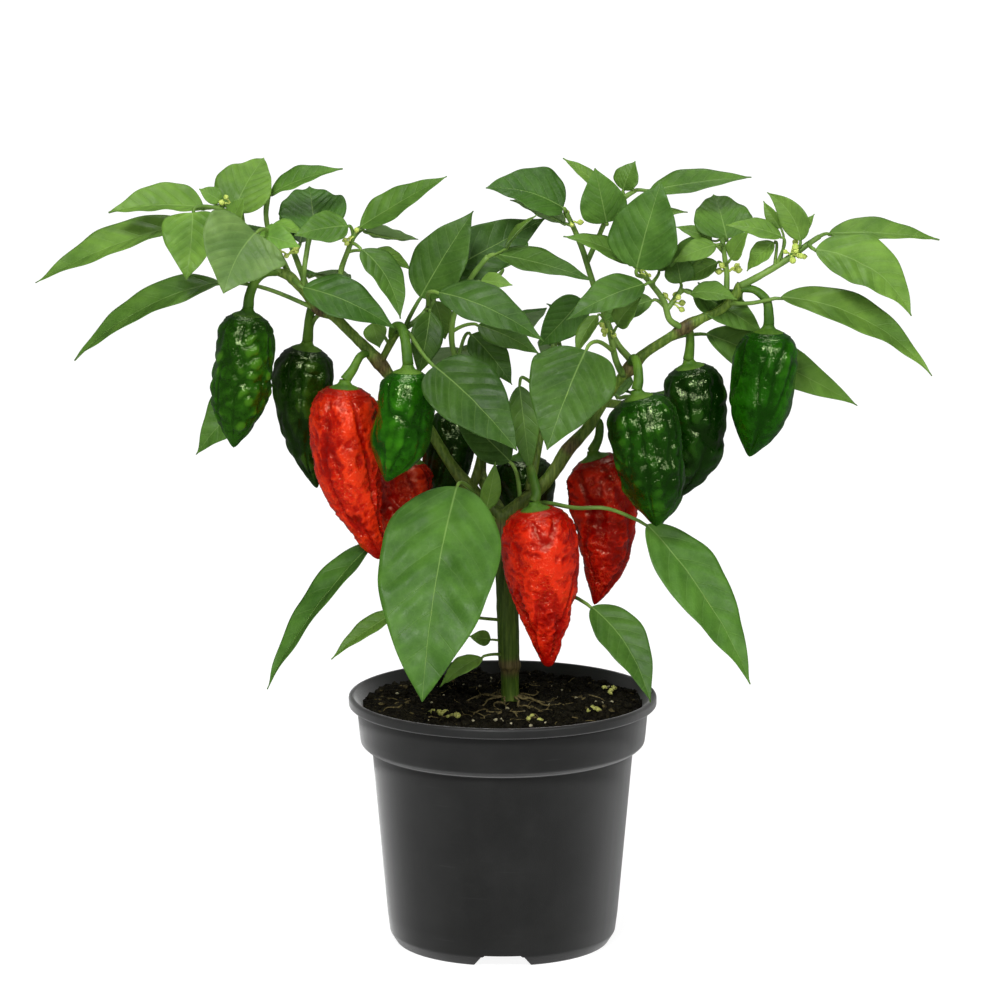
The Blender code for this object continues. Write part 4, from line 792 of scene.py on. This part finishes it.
def pot_material():
    """Black moulded plastic: faint vertical brushing, dust and small scratches."""
    t = Tree("pot_black")
    brush = t.noise(1.0, 3.0, 0.6, t.place((160.0, 160.0, 14.0)))
    grain = t.noise(2600.0, 2.0)
    dust = t.noise(38.0, 5.0, 0.65)
    nicks = t.ramp(t.noise(1.0, 2.0, 0.4, t.place((30.0, 30.0, 900.0))), 0.70, 0.78)
    colour = t.mix(t.ramp(dust, 0.35, 0.75), (0.0085, 0.0087, 0.0083), (0.0120, 0.0122, 0.0117))
    colour = t.mix(nicks * 0.04, colour, (0.16, 0.16, 0.16))
    rough = t.ramp(brush * 0.6 + dust * 0.4, 0.3, 0.7, 0.36, 0.50)
    return t.finish(colour, rough, t.bump(grain * 0.5 + brush * 0.3, 0.00015, 0.5),
                    Specular_IOR_Level=0.24, Sheen_Weight=0.47, Sheen_Roughness=0.43)


def soil_material():
    """Moist peat: near black with brown crumbs."""
    t = Tree("soil_dark")
    crumbs = t.voronoi(900.0)
    lumps = t.noise(330.0, 5.0, 0.7)
    flecks = t.ramp(t.noise(1500.0, 2.0), 0.62, 0.70)
    colour = t.mix(t.ramp(lumps, 0.35, 0.7), (0.0006, 0.0005, 0.0002), (0.0075, 0.0062, 0.0020))
    colour = t.mix(flecks * 0.45, colour, (0.09, 0.08, 0.035))
    return t.finish(colour, t.ramp(lumps, 0.3, 0.7, 0.95, 0.6),
                    t.bump(lumps - crumbs * 0.5, 0.0016, 0.9), Specular_IOR_Level=0.07)


def bit_material(name, low, high, rough):
    """Small loose bits in the soil, and flower buds."""
    t = Tree(name)
    mottle = t.noise(1300.0, 4.0, 0.65)
    colour = t.mix(t.ramp(mottle, 0.3, 0.7), low, high)
    return t.finish(colour, rough, t.bump(mottle, 0.0004, 0.7), Specular_IOR_Level=0.1)


def white_material(t, grain, low, high, strength):
    """Plain, softly lit white for the stage."""
    return t.finish(t.mix(t.noise(grain, 2.0), (low,) * 3, (high,) * 3), 0.9,
                    Specular_IOR_Level=0.0, Emission_Color=(1.0, 1.0, 1.0),
                    Emission_Strength=strength)


# ---- Leaves ----


def half_width(s, outline):
    """Half width of a blade at share s of its length, as a share of the largest."""
    rise, fall = OUTLINES[outline]
    peak = rise / (rise + fall)
    top = peak ** rise * (1 - peak) ** fall
    return max(s, 0.0) ** rise * max(1 - s, 0.0) ** fall / top


def leaf_tint(width, key, index):
    """Base colour of a leaf: fresh on the tips and small leaves, deeper on the large ones."""
    rng = random.Random(4000 + index)
    young = max(smoothstep(17.0, 6.0, width), YOUNG.get(key, 0.0))
    tint = Vector(LEAF_OLD).lerp(Vector(LEAF_NEW), young * 0.85 + rng.uniform(-0.05, 0.12))
    # Partly the leaf's own tone and partly painted light and shade: some twigs are painted
    # lighter, shaded ones darker.
    tint *= rng.uniform(0.86, 1.12) * SHADE.get(key, 1.0)
    # Painted sheen: a large leaf of these twigs is drawn towards pale grey-green, the look of
    # light glancing off it.
    if key in PAINTED_SHEEN and width > SHEEN_LEAST_WIDTH:
        tint = tint.lerp(Vector(LEAF_SHEEN_GREY), PAINTED_SHEEN[key])
    return tuple(tint)


def leaf_stalk(root, way, base, start):
    """Places along a leaf's stalk: past the given points, or in an easy bow."""
    if way:
        return [Vector(p) for p in spline([tuple(root), *way, tuple(base)], 5)]
    reach = (base - root).length
    near = root + ((base - root).normalized() + Vector((0, 0, 0.35))).normalized() * reach * 0.35
    far = base - start * reach * 0.35
    path = []
    for step in range(11):
        s = step / 10
        path.append(root * (1 - s) ** 3 + near * (3 * s * (1 - s) ** 2)
                    + far * (3 * s * s * (1 - s)) + base * s ** 3)
    return path


def blade_rise(leaf, u, s, half, length, tone):
    """How far a blade rises from flat: its fold, its slow and quick waves and its quilting."""
    width = leaf.width
    away = abs(u)
    off = away * half
    rise = off * math.sin(math.radians(leaf.fold)) * (0.55 + 0.45 * smoothstep(0.0, 0.18, away))
    rise += BLADE_WAVE * width * math.sin(9.0 * s + width) * min(s * 4, 1) * (1 - s) * u * away
    rise += BLADE_FRILL * width * math.sin(23.0 * s + 5 * tone) * away ** 3 * min(s * 5, 1)
    run = s * length - VEIN_SLANT * off - VEIN_CURL * off * off / (width / 2)
    shift = VEIN_SHIFT if u > 0 else -VEIN_SHIFT if u < 0 else 0.0
    phase = run / (length / VEINS) + tone + shift
    quilt = math.cos(2 * math.pi * (phase - 0.5)) * smoothstep(0.0, 0.3, away)
    quilt *= smoothstep(1.0, 0.7, away) * min(s * 5, 1) * (1 - s)
    return rise - QUILT * width * quilt


def add_leaf(mesher, leaf, root, way, index):
    """One leaf: a stalk that runs on as the rib below a thin, veined, waved blade."""
    base, tip, face = Vector(leaf.base), Vector(leaf.tip), Vector(leaf.face)
    chord = (tip - base).normalized()
    up = (face - chord * face.dot(chord)).normalized()
    bend = (base + tip) / 2 + up * (2 * leaf.arch) + chord.cross(up) * (2 * leaf.sweep)
    length = (tip - base).length
    half_top = leaf.width / 2
    tint = leaf_tint(leaf.width, leaf.owner, index)
    tone = random.Random(900 + index).random()
    across, stations, thick = next(row[1:] for row in LEAF_GRADES if leaf.width >= row[0])
    lean = math.cos(math.radians(leaf.fold))
    shares = [(i / stations) ** 1.15 for i in range(stations + 1)]
    centres = [arc(base, bend, tip, s) for s in shares]
    rows = []
    rib = []
    for i, (s, centre) in enumerate(zip(shares, centres)):
        ahead = (centres[min(i + 1, stations)] - centres[max(i - 1, 0)]).normalized()
        normal = (up - ahead * up.dot(ahead)).normalized()
        flat = ahead.cross(normal)
        half = max(half_width(s, leaf.outline) * half_top, 0.22)
        upper = []
        lower = []
        for j in range(across + 1):
            u = 2 * j / across - 1
            ripple = noise.noise((centre + flat * (u * half)) * 0.11 + Vector((index * 3.1, 0, 0)))
            rise = blade_rise(leaf, u, s, half, length, tone)
            rise += BLADE_RIPPLE * leaf.width * ripple * min(s * 3, 1)
            edge = 1.0 + 0.012 * math.sin(17 * s + 9 * tone + (2 if u > 0 else 0)) * abs(u)
            place = centre + flat * (u * half * edge * lean) + normal * rise
            taper = (0.35 + 0.65 * (1 - abs(u) ** 4)) * min(0.4 + 3 * (1 - s), 1.0)
            under = place - normal * (BLADE_THICKNESS * taper)
            values = {"leaf": (u * half / half_top, s, tone), "tint": tint}
            upper.append(mesher.vert(place, size=(half_top, length, 0.0), **values))
            lower.append(mesher.vert(under, size=(half_top, length, 1.0), **values))
        rows.append((upper, lower))
        rib.append(centre - normal * (0.30 + 0.62 * (1 - s)))
    for (up_a, low_a), (up_b, low_b) in zip(rows, rows[1:]):
        for j in range(across):
            mesher.face((up_a[j], up_a[j + 1], up_b[j + 1], up_b[j]))
            mesher.face((low_a[j], low_b[j], low_b[j + 1], low_a[j + 1]))
        mesher.face((up_a[0], up_b[0], low_b[0], low_a[0]))
        mesher.face((up_a[-1], low_a[-1], low_b[-1], up_b[-1]))
    mesher.face(rows[0][0] + rows[0][1][::-1])
    mesher.face(rows[-1][0][::-1] + rows[-1][1])
    stalk = leaf_stalk(root, way, base, (bend - base).normalized())
    path = [(*spot, thick * (1.15 - 0.3 * i / len(stalk))) for i, spot in enumerate(stalk[:-1])]
    path += [(*spot, max(thick * 0.75 * (1 - i / len(rib)) ** 0.8, 0.13))
             for i, spot in enumerate(rib)]
    tube(mesher, path, 7, mat=1)


def build_foliage():
    parts = {}
    for key, joints in TWIGS.items():
        mesher = parts.setdefault(TWIG_NODES[key], Mesher())
        tube(mesher, spline(joints, 5), 10, mat=1, bumps=0.12, seed=ord(key))
    for index, leaf in enumerate(LEAVES):
        root = along(LIMBS[leaf.limb] if leaf.limb else TWIGS[leaf.owner], leaf.share)
        mesher = parts.setdefault(TWIG_NODES.get(leaf.owner, leaf.owner), Mesher())
        add_leaf(mesher, leaf, root, STALK_WAYS.get(leaf.owner), index)
    for node, mesher in parts.items():
        mesher.build("foliage_" + node, [LEAF, STALK], "foliage", [node])


def build_buds():
    """Small pale flower buds and shoot tips in the forks of the sprays."""
    rng = random.Random(5)
    mesher = Mesher()
    for place, many, reach in BUDS:
        root = Vector(place)
        for _ in range(many):
            way = Vector((rng.uniform(-1, 1), rng.uniform(-1, 0.6), rng.uniform(-0.5, 1.0)))
            way.normalize()
            end = root + way * rng.uniform(0.6, 1.0) * reach
            bend = root.lerp(end, 0.5) + Vector((0, 0, reach * 0.15))
            tube(mesher, spline([(*root, 0.45), (*bend, 0.4), (*end, 0.5)], 3), 7)
            size = rng.uniform(0.9, 1.5)
            path = []
            for k in range(9):
                s = k / 8
                radius = max(size * math.sin(math.pi * min(0.08 + s * 0.9, 1.0)), 0.12)
                path.append((*(end + way * (s * size * 2.4)), radius))
            tube(mesher, path, 10)
    mesher.build("buds", [bit_material(*BIT_LOOKS["buds"])], "foliage")


# ---- Pods ----


def pod_curve(pod):
    """Seat, bowed middle and tip of a pod, and the way in which it bows."""
    seat, tip = Vector(pod.seat), Vector(pod.tip)
    side = DEPTH.cross((tip - seat).normalized()).normalized()
    return seat, (seat + tip) / 2 + side * (2 * pod.bend), tip, side


def pod_profile(shape, share):
    """Width of a pod at a share of its length."""
    table = POD_SHAPES[shape]
    for (s0, w0), (s1, w1) in zip(table, table[1:]):
        if share <= s1:
            return w0 + (w1 - w0) * ((share - s0) / (s1 - s0))
    return table[-1][1]


def smooth_profile(shape, share):
    total = 0.0
    for step in (-0.03, -0.015, 0.0, 0.015, 0.03):
        total += pod_profile(shape, min(max(share + step, 0.0), 1.0))
    return total / 5


def pod_row(shape, t):
    """Share of the length and of the width that row t of a pod has, from calyx to tip."""
    if t < POD_NECK:
        return -0.004, 0.30 + 0.22 * math.sqrt(t / POD_NECK)
    share = t ** 1.3 if t < 0.25 else 0.165 + (t - 0.25) / 0.75 * 0.835
    share = max((share - 0.0258) / (1 - 0.0258), 0.0)
    wide = smooth_profile(shape, share) if share > 0.03 else pod_profile(shape, share)
    if share > POD_END:
        wide *= math.sqrt(max(1 - ((share - POD_END) / (1 - POD_END)) ** 2, 0.0)) * 0.9 + 0.1
    return share, wide


def pod_relief(pod, spot, angle, s, seed, turn):
    """How far the skin rises or sinks at a place, and the tone of painted shade in its creases and
    painted highlights on its swellings and ridges.
    """
    def swell(spread, down):
        return noise.noise(Vector((*polar(spread, angle), down)) + seed)

    fold = swell(1.5, s * 1.3)
    crease = smoothstep(0.72, 1.0, 1 - abs(swell(1.3, s * 1.8 + 4)) * 2)
    puff = noise.noise(spot * 0.145 + seed)
    if pod.kind == "red":
        ridge = 1 - 2.6 * abs(noise.noise(spot * 0.27 + seed))
        cells = 1 - 2.6 * abs(noise.noise(spot * 0.55 + seed))
        rise = 1.00 * fold + 0.80 * puff - 1.3 * crease + 0.55 * ridge + 0.34 * cells
        # Painted light on red pods: darker in the creases, lighter on folds and swellings, and
        # painted glints along the ridges and cells.
        tone = 0.75 * fold + 0.5 * puff - 1.2 * crease
        return rise, tone + 0.5 * max(ridge, -0.2) + 0.25 * max(cells, -0.2)
    pillow = abs(noise.noise(spot * 0.17 + seed)) * 2 - 0.45
    rise = 0.60 * fold + pod.bumpy * (0.95 * pillow + 0.45 * puff) - 0.95 * crease
    bow = angle + 0.5 * swell(1.0, s * 2)
    rise += 0.22 * math.cos(9 * bow + turn) * smoothstep(0.55, 0.15, s)
    # On green pods the tone is the height itself: painted shade in the hollows, painted highlights
    # on the bumps.
    return rise, rise


def add_pod(name, pod):
    """A pod in full detail: lobes, folds running down, wrinkles and a small tail."""
    seat, middle, tip, side = pod_curve(pod)
    crown = seat + (seat - middle).normalized() * 0.2
    turn = mark(name)
    seed = Vector((turn * 1.7, turn * 0.3, 0))
    mesher = Mesher()
    rows = []
    for i in range(POD_ROWS + 1):
        share, wide = pod_row(pod.shape, i / POD_ROWS)
        s = max(share, 0.0)
        centre = crown if share < 0 else arc(seat, middle, tip, s)
        heading = ((middle - seat) * (1 - s) + (tip - middle) * s).normalized()
        across = (side - heading * side.dot(heading)).normalized()
        depth = heading.cross(across)
        full = smoothstep(0.0, 0.08, s) * smoothstep(1.0, 0.85, s)
        ring = []
        for angle in turns(POD_AROUND):
            lobes = 1 + 0.045 * math.cos(3 * angle + turn) * math.sin(math.pi * min(s * 1.4, 1.0))
            lobes += 0.035 * math.sin(2 * angle + 7 * s + turn) * math.sin(math.pi * s)
            way = across * math.cos(angle) + depth * math.sin(angle)
            spot = centre + way * (wide * lobes * pod.width / 2)
            rise, tone = pod_relief(pod, spot, angle, s, seed, turn)
            gain = rise * full * (pod.width / POD_MEAN_WIDTH) * POD_RELIEF
            gain = max(min(gain, POD_SWELL), POD_SINK)
            # The skin value carries the painted shade and highlight tone to the pod's material.
            ring.append(mesher.vert(spot + way * gain, skin=(tone * full, 0, 0), tint=pod.tint))
        rows.append(ring)
    mesher.bridge(rows)
    last = rows[-1]
    end = Vector(mesher.verts[last[0]]).lerp(Vector(mesher.verts[last[POD_AROUND // 2]]), 0.5)
    mesher.fan(rows[0][::-1], mesher.vert(crown, skin=(0, 0, 0), tint=pod.tint))
    mesher.fan(last, mesher.vert(end + heading * 0.15, skin=(0, 0, 0), tint=pod.tint))
    mesher.build("skin_" + name, [POD_MATERIALS[pod.kind]], POD_SLOTS[pod.kind], [name])


# ---- The woody frame ----


def bark_skin(kind):
    """How brown the bark is at a place: at joints, in forks and at the foot of the trunk."""
    def value(spot):
        brown = smoothstep(112, 96, spot.z) * 0.35
        for place, reach in BROWN_JOINTS:
            near = (spot - Vector(place)).length
            brown = max(brown, smoothstep(reach, reach * 0.35, near))
        brown = max(brown, 0.22 * smoothstep(150, 175, spot.z) * smoothstep(222, 195, spot.z))
        return (brown, 0.0, kind)
    return value


def add_calyx(mesher, seat, heading, turn):
    """The cap on top of a pod: a flared, scalloped skirt that hugs the shoulder."""
    side = DEPTH.cross(heading).normalized()
    depth = heading.cross(side)
    rim = CALYX_RADIUS + 0.1
    profile = ((-3.6, 2.25, 0.0), (-2.6, 2.5, 0.0), (-1.7, 3.2, 0.1), (-0.9, rim * 0.80, 0.3),
               (-0.2, rim * 0.97, 0.8), (0.7, rim + 0.55, 1.3), (1.1, rim + 0.6, 1.35),
               (0.8, rim + 0.1, 1.0), (0.2, rim * 0.8, 0.3), (0.2, rim * 0.4, 0.0))
    rows = []
    for drop, radius, scallop in profile:
        ring = []
        skin = (0.0, 0.0, 1.0 - 0.35 * smoothstep(-1.5, 0.8, drop))
        for angle in turns(CALYX_SIDES):
            lobe = math.cos(5 * angle + turn) * 0.5 + math.cos(2 * angle + turn * 2) * 0.2
            way = side * math.cos(angle) + depth * math.sin(angle)
            place = seat + heading * (drop + scallop * lobe * 0.5)
            ring.append(mesher.vert(place + way * (radius + scallop * lobe * 0.55), skin=skin))
        rows.append(ring)
    mesher.bridge(rows)
    mesher.face(rows[0][::-1])
    mesher.face(rows[-1])


def add_stem():
    """Trunk and limbs, and each pod's stalk, which widens into the calyx that caps the pod."""
    mesher = Mesher()
    for limb, joints in LIMBS.items():
        main = limb in ("trunk", "left", "right")
        tube(mesher, spline(joints, 5), 20 if main else 12, bumps=0.30 if main else 0.15,
             seed=len(limb), skin=bark_skin(0.0), ridge=0.12 if main else 0.05)
    for name, pod in PODS.items():
        seat, middle, _, _ = pod_curve(pod)
        heading = (middle - seat).normalized()
        joints = [way + (1.45 + 0.22 * index,) for index, way in enumerate(pod.stalk)]
        joints.append((*(seat - heading * CALYX_NECK), 2.3))
        tube(mesher, spline(joints, 5), 14, bumps=0.10, seed=len(name), skin=bark_skin(1.0),
             ridge=0.10)
        add_calyx(mesher, seat, heading, mark(name))
    mesher.build("bark_stem", [BARK], "stem", ["stem"])


# ---- Pot and soil ----


def apply_modifiers(obj):
    bpy.context.view_layer.update()
    graph = bpy.context.evaluated_depsgraph_get()
    mesh = bpy.data.meshes.new_from_object(obj.evaluated_get(graph))
    obj.modifiers.clear()
    obj.data = mesh


def turned(name, outline, segments):
    """A solid of revolution about Z from an outline that runs down its outer side."""
    mesh = bpy.data.meshes.new(name)
    points = [(r * MM, 0.0, z * MM) for r, z in outline]
    mesh.from_pydata(points, [(i, i + 1) for i in range(len(points) - 1)], [])
    obj = link(name, mesh)
    screw = obj.modifiers.new("turn", "SCREW")
    screw.steps = segments
    screw.render_steps = segments
    screw.use_merge_vertices = True
    screw.merge_threshold = 0.00001
    apply_modifiers(obj)
    bm = bmesh.new()
    bm.from_mesh(obj.data)
    bmesh.ops.remove_doubles(bm, verts=bm.verts, dist=0.00001)
    bmesh.ops.dissolve_degenerate(bm, edges=bm.edges, dist=0.000001)
    bmesh.ops.recalc_face_normals(bm, faces=bm.faces)
    bm.to_mesh(obj.data)
    bm.free()
    return obj


def rounded(outline, radius, steps=4):
    """Round each corner of an outline a little."""
    out = [outline[0]]
    for a, b, c in zip(outline, outline[1:], outline[2:]):
        a, b, c = Vector(a), Vector(b), Vector(c)
        before = a - b
        after = c - b
        reach = min(radius, before.length * 0.45, after.length * 0.45)
        start = b + before.normalized() * reach
        end = b + after.normalized() * reach
        out += [tuple(arc(start, b, end, step / steps)) for step in range(steps + 1)]
    out.append(outline[-1])
    return out


def notch_tool(index, angle):
    """A wedge with rounded long edges that cuts one notch under the foot."""
    bm = bmesh.new()
    bmesh.ops.create_cube(bm, size=1.0)
    for vert in bm.verts:
        wide = NOTCH_WIDTH + (NOTCH_TAPER if vert.co.z < 0 else -NOTCH_TAPER)
        vert.co.y *= wide * MM
        vert.co.x = (vert.co.x * NOTCH_DEPTH + NOTCH_REACH) * MM
        vert.co.z = vert.co.z * NOTCH_HEIGHT * MM
    long_edges = [edge for edge in bm.edges
                  if abs(edge.verts[0].co.y - edge.verts[1].co.y) < 1e-5
                  and abs(edge.verts[0].co.z - edge.verts[1].co.z) < 1e-5]
    bmesh.ops.bevel(bm, geom=long_edges, offset=0.9 * MM, segments=3, affect="EDGES")
    mesh = bpy.data.meshes.new("notch")
    bm.to_mesh(mesh)
    bm.free()
    tool = link("notch_%d" % index, mesh)
    tool.rotation_euler = (0, 0, angle)
    return tool


def build_pot():
    """The pot's shell, with three notches and three drain holes cut into its foot."""
    rim = POT_RIM_RADIUS
    top = POT_HEIGHT
    outline = [(0, 7.0), (43.5, 7.0), (46.6, 12.0), (54.0, 82.0), (57.8, 88.0), (59.2, top - 5.0),
               (rim - 2.0, top), (rim - 0.7, top), (rim, top - 0.8), (rim, top - 3.8),
               (rim - 0.6, top - 4.4), (61.2, top - 4.6), (60.1, 89.0), (59.7, 86.0),
               (57.8, 84.2), (54.9, 83.2), (48.6, 12.0), (47.6, 4.5), (POT_BASE_RADIUS, 0.0),
               (37.0, 0.0), (35.5, FOOT_RECESS), (BOSS_RADIUS + 1.0, FOOT_RECESS),
               (BOSS_RADIUS, 0.0), (0, 0)]
    pot = turned("pot_shell", rounded(outline, POT_ROUNDING), POT_SEGMENTS)
    tools = []
    for index in range(3):
        angle = math.radians(-90 + 120 * index)
        tools.append(notch_tool(index, angle))
        bpy.ops.mesh.primitive_cylinder_add(radius=DRAIN_HOLE_RADIUS * MM, depth=10 * MM,
                                            vertices=32)
        hole = bpy.context.object
        hole.location = (*polar(DRAIN_HOLE_REACH * MM, angle), 6 * MM)
        tools.append(hole)
    for tool in tools:
        carve = pot.modifiers.new("carve", "BOOLEAN")
        carve.operation = "DIFFERENCE"
        carve.object = tool
        carve.solver = "EXACT"
    apply_modifiers(pot)
    for tool in tools:
        bpy.data.objects.remove(tool)
    pot.data.materials.clear()
    pot.data.materials.append(pot_material())
    pot.data.shade_smooth()
    pot.data.set_sharp_from_angle(angle=math.radians(POT_SHARP_ANGLE))
    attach(pot, "root")
    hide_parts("pot")


def soil_top(x, y):
    """Height of the soil's surface: a low mound, lumps and crumbs."""
    reach = math.hypot(x, y)
    lumps = math.sin(0.21 * x + 1.3) * math.cos(0.17 * y - 0.6)
    lumps += 0.6 * math.sin(0.43 * x - 0.31 * y) + 0.5 * math.cos(0.37 * y + 0.11 * x)
    fade = min(max((reach - 4.0) / 8.0, 0.0), 1.0)
    place = Vector((x, y, 0))
    crumbs = 0.9 * noise.noise(place * 0.22) + 0.8 * noise.noise(place * 0.5)
    crumbs += 0.45 * abs(noise.noise(place * 1.1)) - 0.3
    mound = MOUND_HEIGHT * math.exp(-((reach / MOUND_REACH) ** 2))
    return SOIL_LEVEL + mound + SOIL_LUMP * lumps * 0.7 * fade + crumbs


def build_soil():
    mesher = Mesher()
    rows = []
    for i in range(1, SOIL_RINGS + 1):
        spots = [polar(SOIL_EDGE * i / SOIL_RINGS, angle) for angle in turns(SOIL_AROUND)]
        rows.append([mesher.vert((x, y, soil_top(x, y))) for x, y in spots])
    for low, reach in SOIL_SIDE:
        rows.append([mesher.vert((*polar(reach, angle), low)) for angle in turns(SOIL_AROUND)])
    top = mesher.vert((0, 0, soil_top(0, 0)))
    low = mesher.vert((0, 0, SOIL_FLOOR))
    mesher.bridge(rows)
    mesher.fan(rows[0], top)
    mesher.fan(rows[-1], low)
    mesher.build("soil_bed", [soil_material()], "soil_mix", ["soil"])


def scatter(count, rng, inner=7.0, outer=57.5):
    """Places spread evenly over the soil."""
    for _ in range(count):
        reach = math.sqrt(rng.uniform(inner ** 2, outer ** 2))
        yield polar(reach, rng.uniform(0, 2 * math.pi))


def heap(x, y, count, rng, wide, dark_tone_and_shade):
    """Places in a small heap."""
    for _ in range(count):
        yield x + rng.uniform(-wide, wide), y + rng.uniform(-dark_tone_and_shade, dark_tone_and_shade)


def add_lumps(mesher, rng, spots, sizes, lift, flat=1.0):
    """An irregular crumb at each place."""
    for x, y in spots:
        size = rng.uniform(*sizes)
        centre = Vector((x, y, soil_top(x, y) + size * lift))
        bm = bmesh.new()
        bmesh.ops.create_icosphere(bm, subdivisions=1, radius=1.0)
        stretch = Vector((rng.uniform(0.7, 1.3), rng.uniform(0.7, 1.3),
                          rng.uniform(0.6, 1.0) * flat))
        turn = Matrix.Rotation(rng.uniform(0, 6.28), 3, "Z")
        turn @= Matrix.Rotation(rng.uniform(-0.6, 0.6), 3, "X")
        index = {}
        for vert in bm.verts:
            dent = rng.uniform(0.75, 1.2)
            index[vert] = mesher.vert(centre + turn @ (vert.co * stretch) * (size * dent))
        for face in bm.faces:
            mesher.face([index[v] for v in face.verts])
        bm.free()


def add_fibre(mesher, x, y, length, thick, rng):
    """A root hair or splinter lying on the soil."""
    heading = rng.uniform(0, 2 * math.pi)
    points = []
    for step in range(7):
        heading += rng.uniform(-0.45, 0.45)
        height = soil_top(x, y) + thick * 0.5 + rng.uniform(0.0, 0.5)
        points.append((x, y, height, thick * (1 - 0.09 * step)))
        x += math.cos(heading) * length / 6
        y += math.sin(heading) * length / 6
        if not THREAD_INNER <= math.hypot(x, y) <= THREAD_OUTER:
            break
    if len(points) > 2:
        tube(mesher, spline(points, 2), 6)


def build_bits():
    """Crumbs, bark, perlite, feed granules and root threads lying on the soil."""
    rng = random.Random(77)
    lots = {
        "soil_crumbs": [(scatter(620, rng), (0.7, 1.9), 0.25)],
        "soil_bark": [(scatter(90, rng), (0.5, 1.5), 0.3, 0.45)],
        "soil_perlite": [(scatter(46, rng), (0.4, 1.0), 0.4),
                         (heap(43, 0, 7, rng, 7, 6), (0.8, 1.6), 0.5)],
        "soil_granules": [(heap(x, y, many, rng, 4.5, 3.5), (0.9, 1.5), 0.7)
                          for x, y, many in GRANULES],
    }
    for name, lot in lots.items():
        mesher = Mesher()
        for spots, *shape in lot:
            add_lumps(mesher, rng, spots, *shape)
        mesher.build(name, [bit_material(*BIT_LOOKS[name])], "soil_mix")
    threads = Mesher()
    for angle, length, thick in ROOTS:
        points = []
        for step in range(9):
            share = step / 8
            turn = math.radians(angle + 9 * math.sin(1.1 * step + angle))
            x, y = polar(3.4 + length * share, turn)
            x += TRUNK_X
            lift = 1.6 * (1 - share) + 0.2
            points.append((x, y, soil_top(x, y) + lift, thick * (1 - 0.085 * step)))
        tube(threads, spline(points, 3), 8, bumps=0.10, seed=angle)
    for x, y in scatter(60, rng, 6.0, 46.0):
        add_fibre(threads, x, y, rng.uniform(6, 19), rng.uniform(0.16, 0.38), rng)
    threads.build("soil_fibres", [bit_material(*BIT_LOOKS["soil_fibres"])], "soil_mix")


# ---- Stage ----


def build_stage():
    """A plain white floor and backdrop, four soft lamps and the camera."""
    bpy.ops.mesh.primitive_plane_add(size=FLOOR_SIZE, location=(0, 0, 0))
    floor = bpy.context.object
    floor.name = "floor"
    t = Tree("floor_white")
    east, north, _ = t.split(t.place())
    reach = t.math("SQRT", east * east + north * north)
    floor.data.materials.append(
        white_material(t, 3.0, 0.20, 0.22, t.ramp(reach, 0.8, 3.5, 0.90, 1.05)))
    bpy.ops.mesh.primitive_cylinder_add(
        radius=BACKDROP_RADIUS, depth=BACKDROP_HEIGHT, vertices=96, end_fill_type="NOTHING",
        location=(0, 0, BACKDROP_MIDDLE))
    wall = bpy.context.object
    wall.name = "backdrop"
    wall.data.materials.append(white_material(Tree("backdrop_white"), 0.3, 0.10, 0.11, 1.05))
    for piece in (floor, wall):
        piece.visible_glossy = False
    wall.visible_diffuse = False
    wall.visible_transmission = False
    wall.visible_shadow = False
    scene = bpy.context.scene
    scene.world = bpy.data.worlds.new("studio")
    scene.world.use_nodes = True
    background = scene.world.node_tree.nodes["Background"]
    background.inputs[0].default_value = (1.0, 1.0, 1.0, 1.0)
    background.inputs[1].default_value = WORLD_LEVEL
    for name, place, size, power in LAMPS:
        light = bpy.data.lights.new(name, "AREA")
        light.shape = "RECTANGLE"
        light.size = light.size_y = size
        light.energy = power
        lamp = link(name, light)
        lamp.location = place
        aim = Vector(LAMP_AIM) - Vector(place)
        lamp.rotation_euler = aim.to_track_quat("-Z", "Y").to_euler()
    view = bpy.data.cameras.new("view")
    view.sensor_width = 36.0
    view.lens = CAMERA_LENS
    view.clip_end = 100.0
    camera = link("view", view)
    camera.location = CAMERA_PLACE
    camera.rotation_euler = (math.radians(CAMERA_TILT), 0, 0)
    scene.camera = camera
    scene.view_settings.view_transform = "Standard"
    scene.view_settings.look = "None"
    scene.view_settings.exposure = 0.0


LEAF = leaf_material()
STALK = stalk_material()
BARK = bark_material()
POD_MATERIALS = {kind: pod_material(*look) for kind, look in POD_SKINS.items()}
POD_MATERIALS["dark"] = POD_MATERIALS["green"]

build_pot()
build_soil()
build_bits()
add_stem()
for pod_name, pod_plan in PODS.items():
    add_pod(pod_name, pod_plan)
build_foliage()
build_buds()
build_stage()
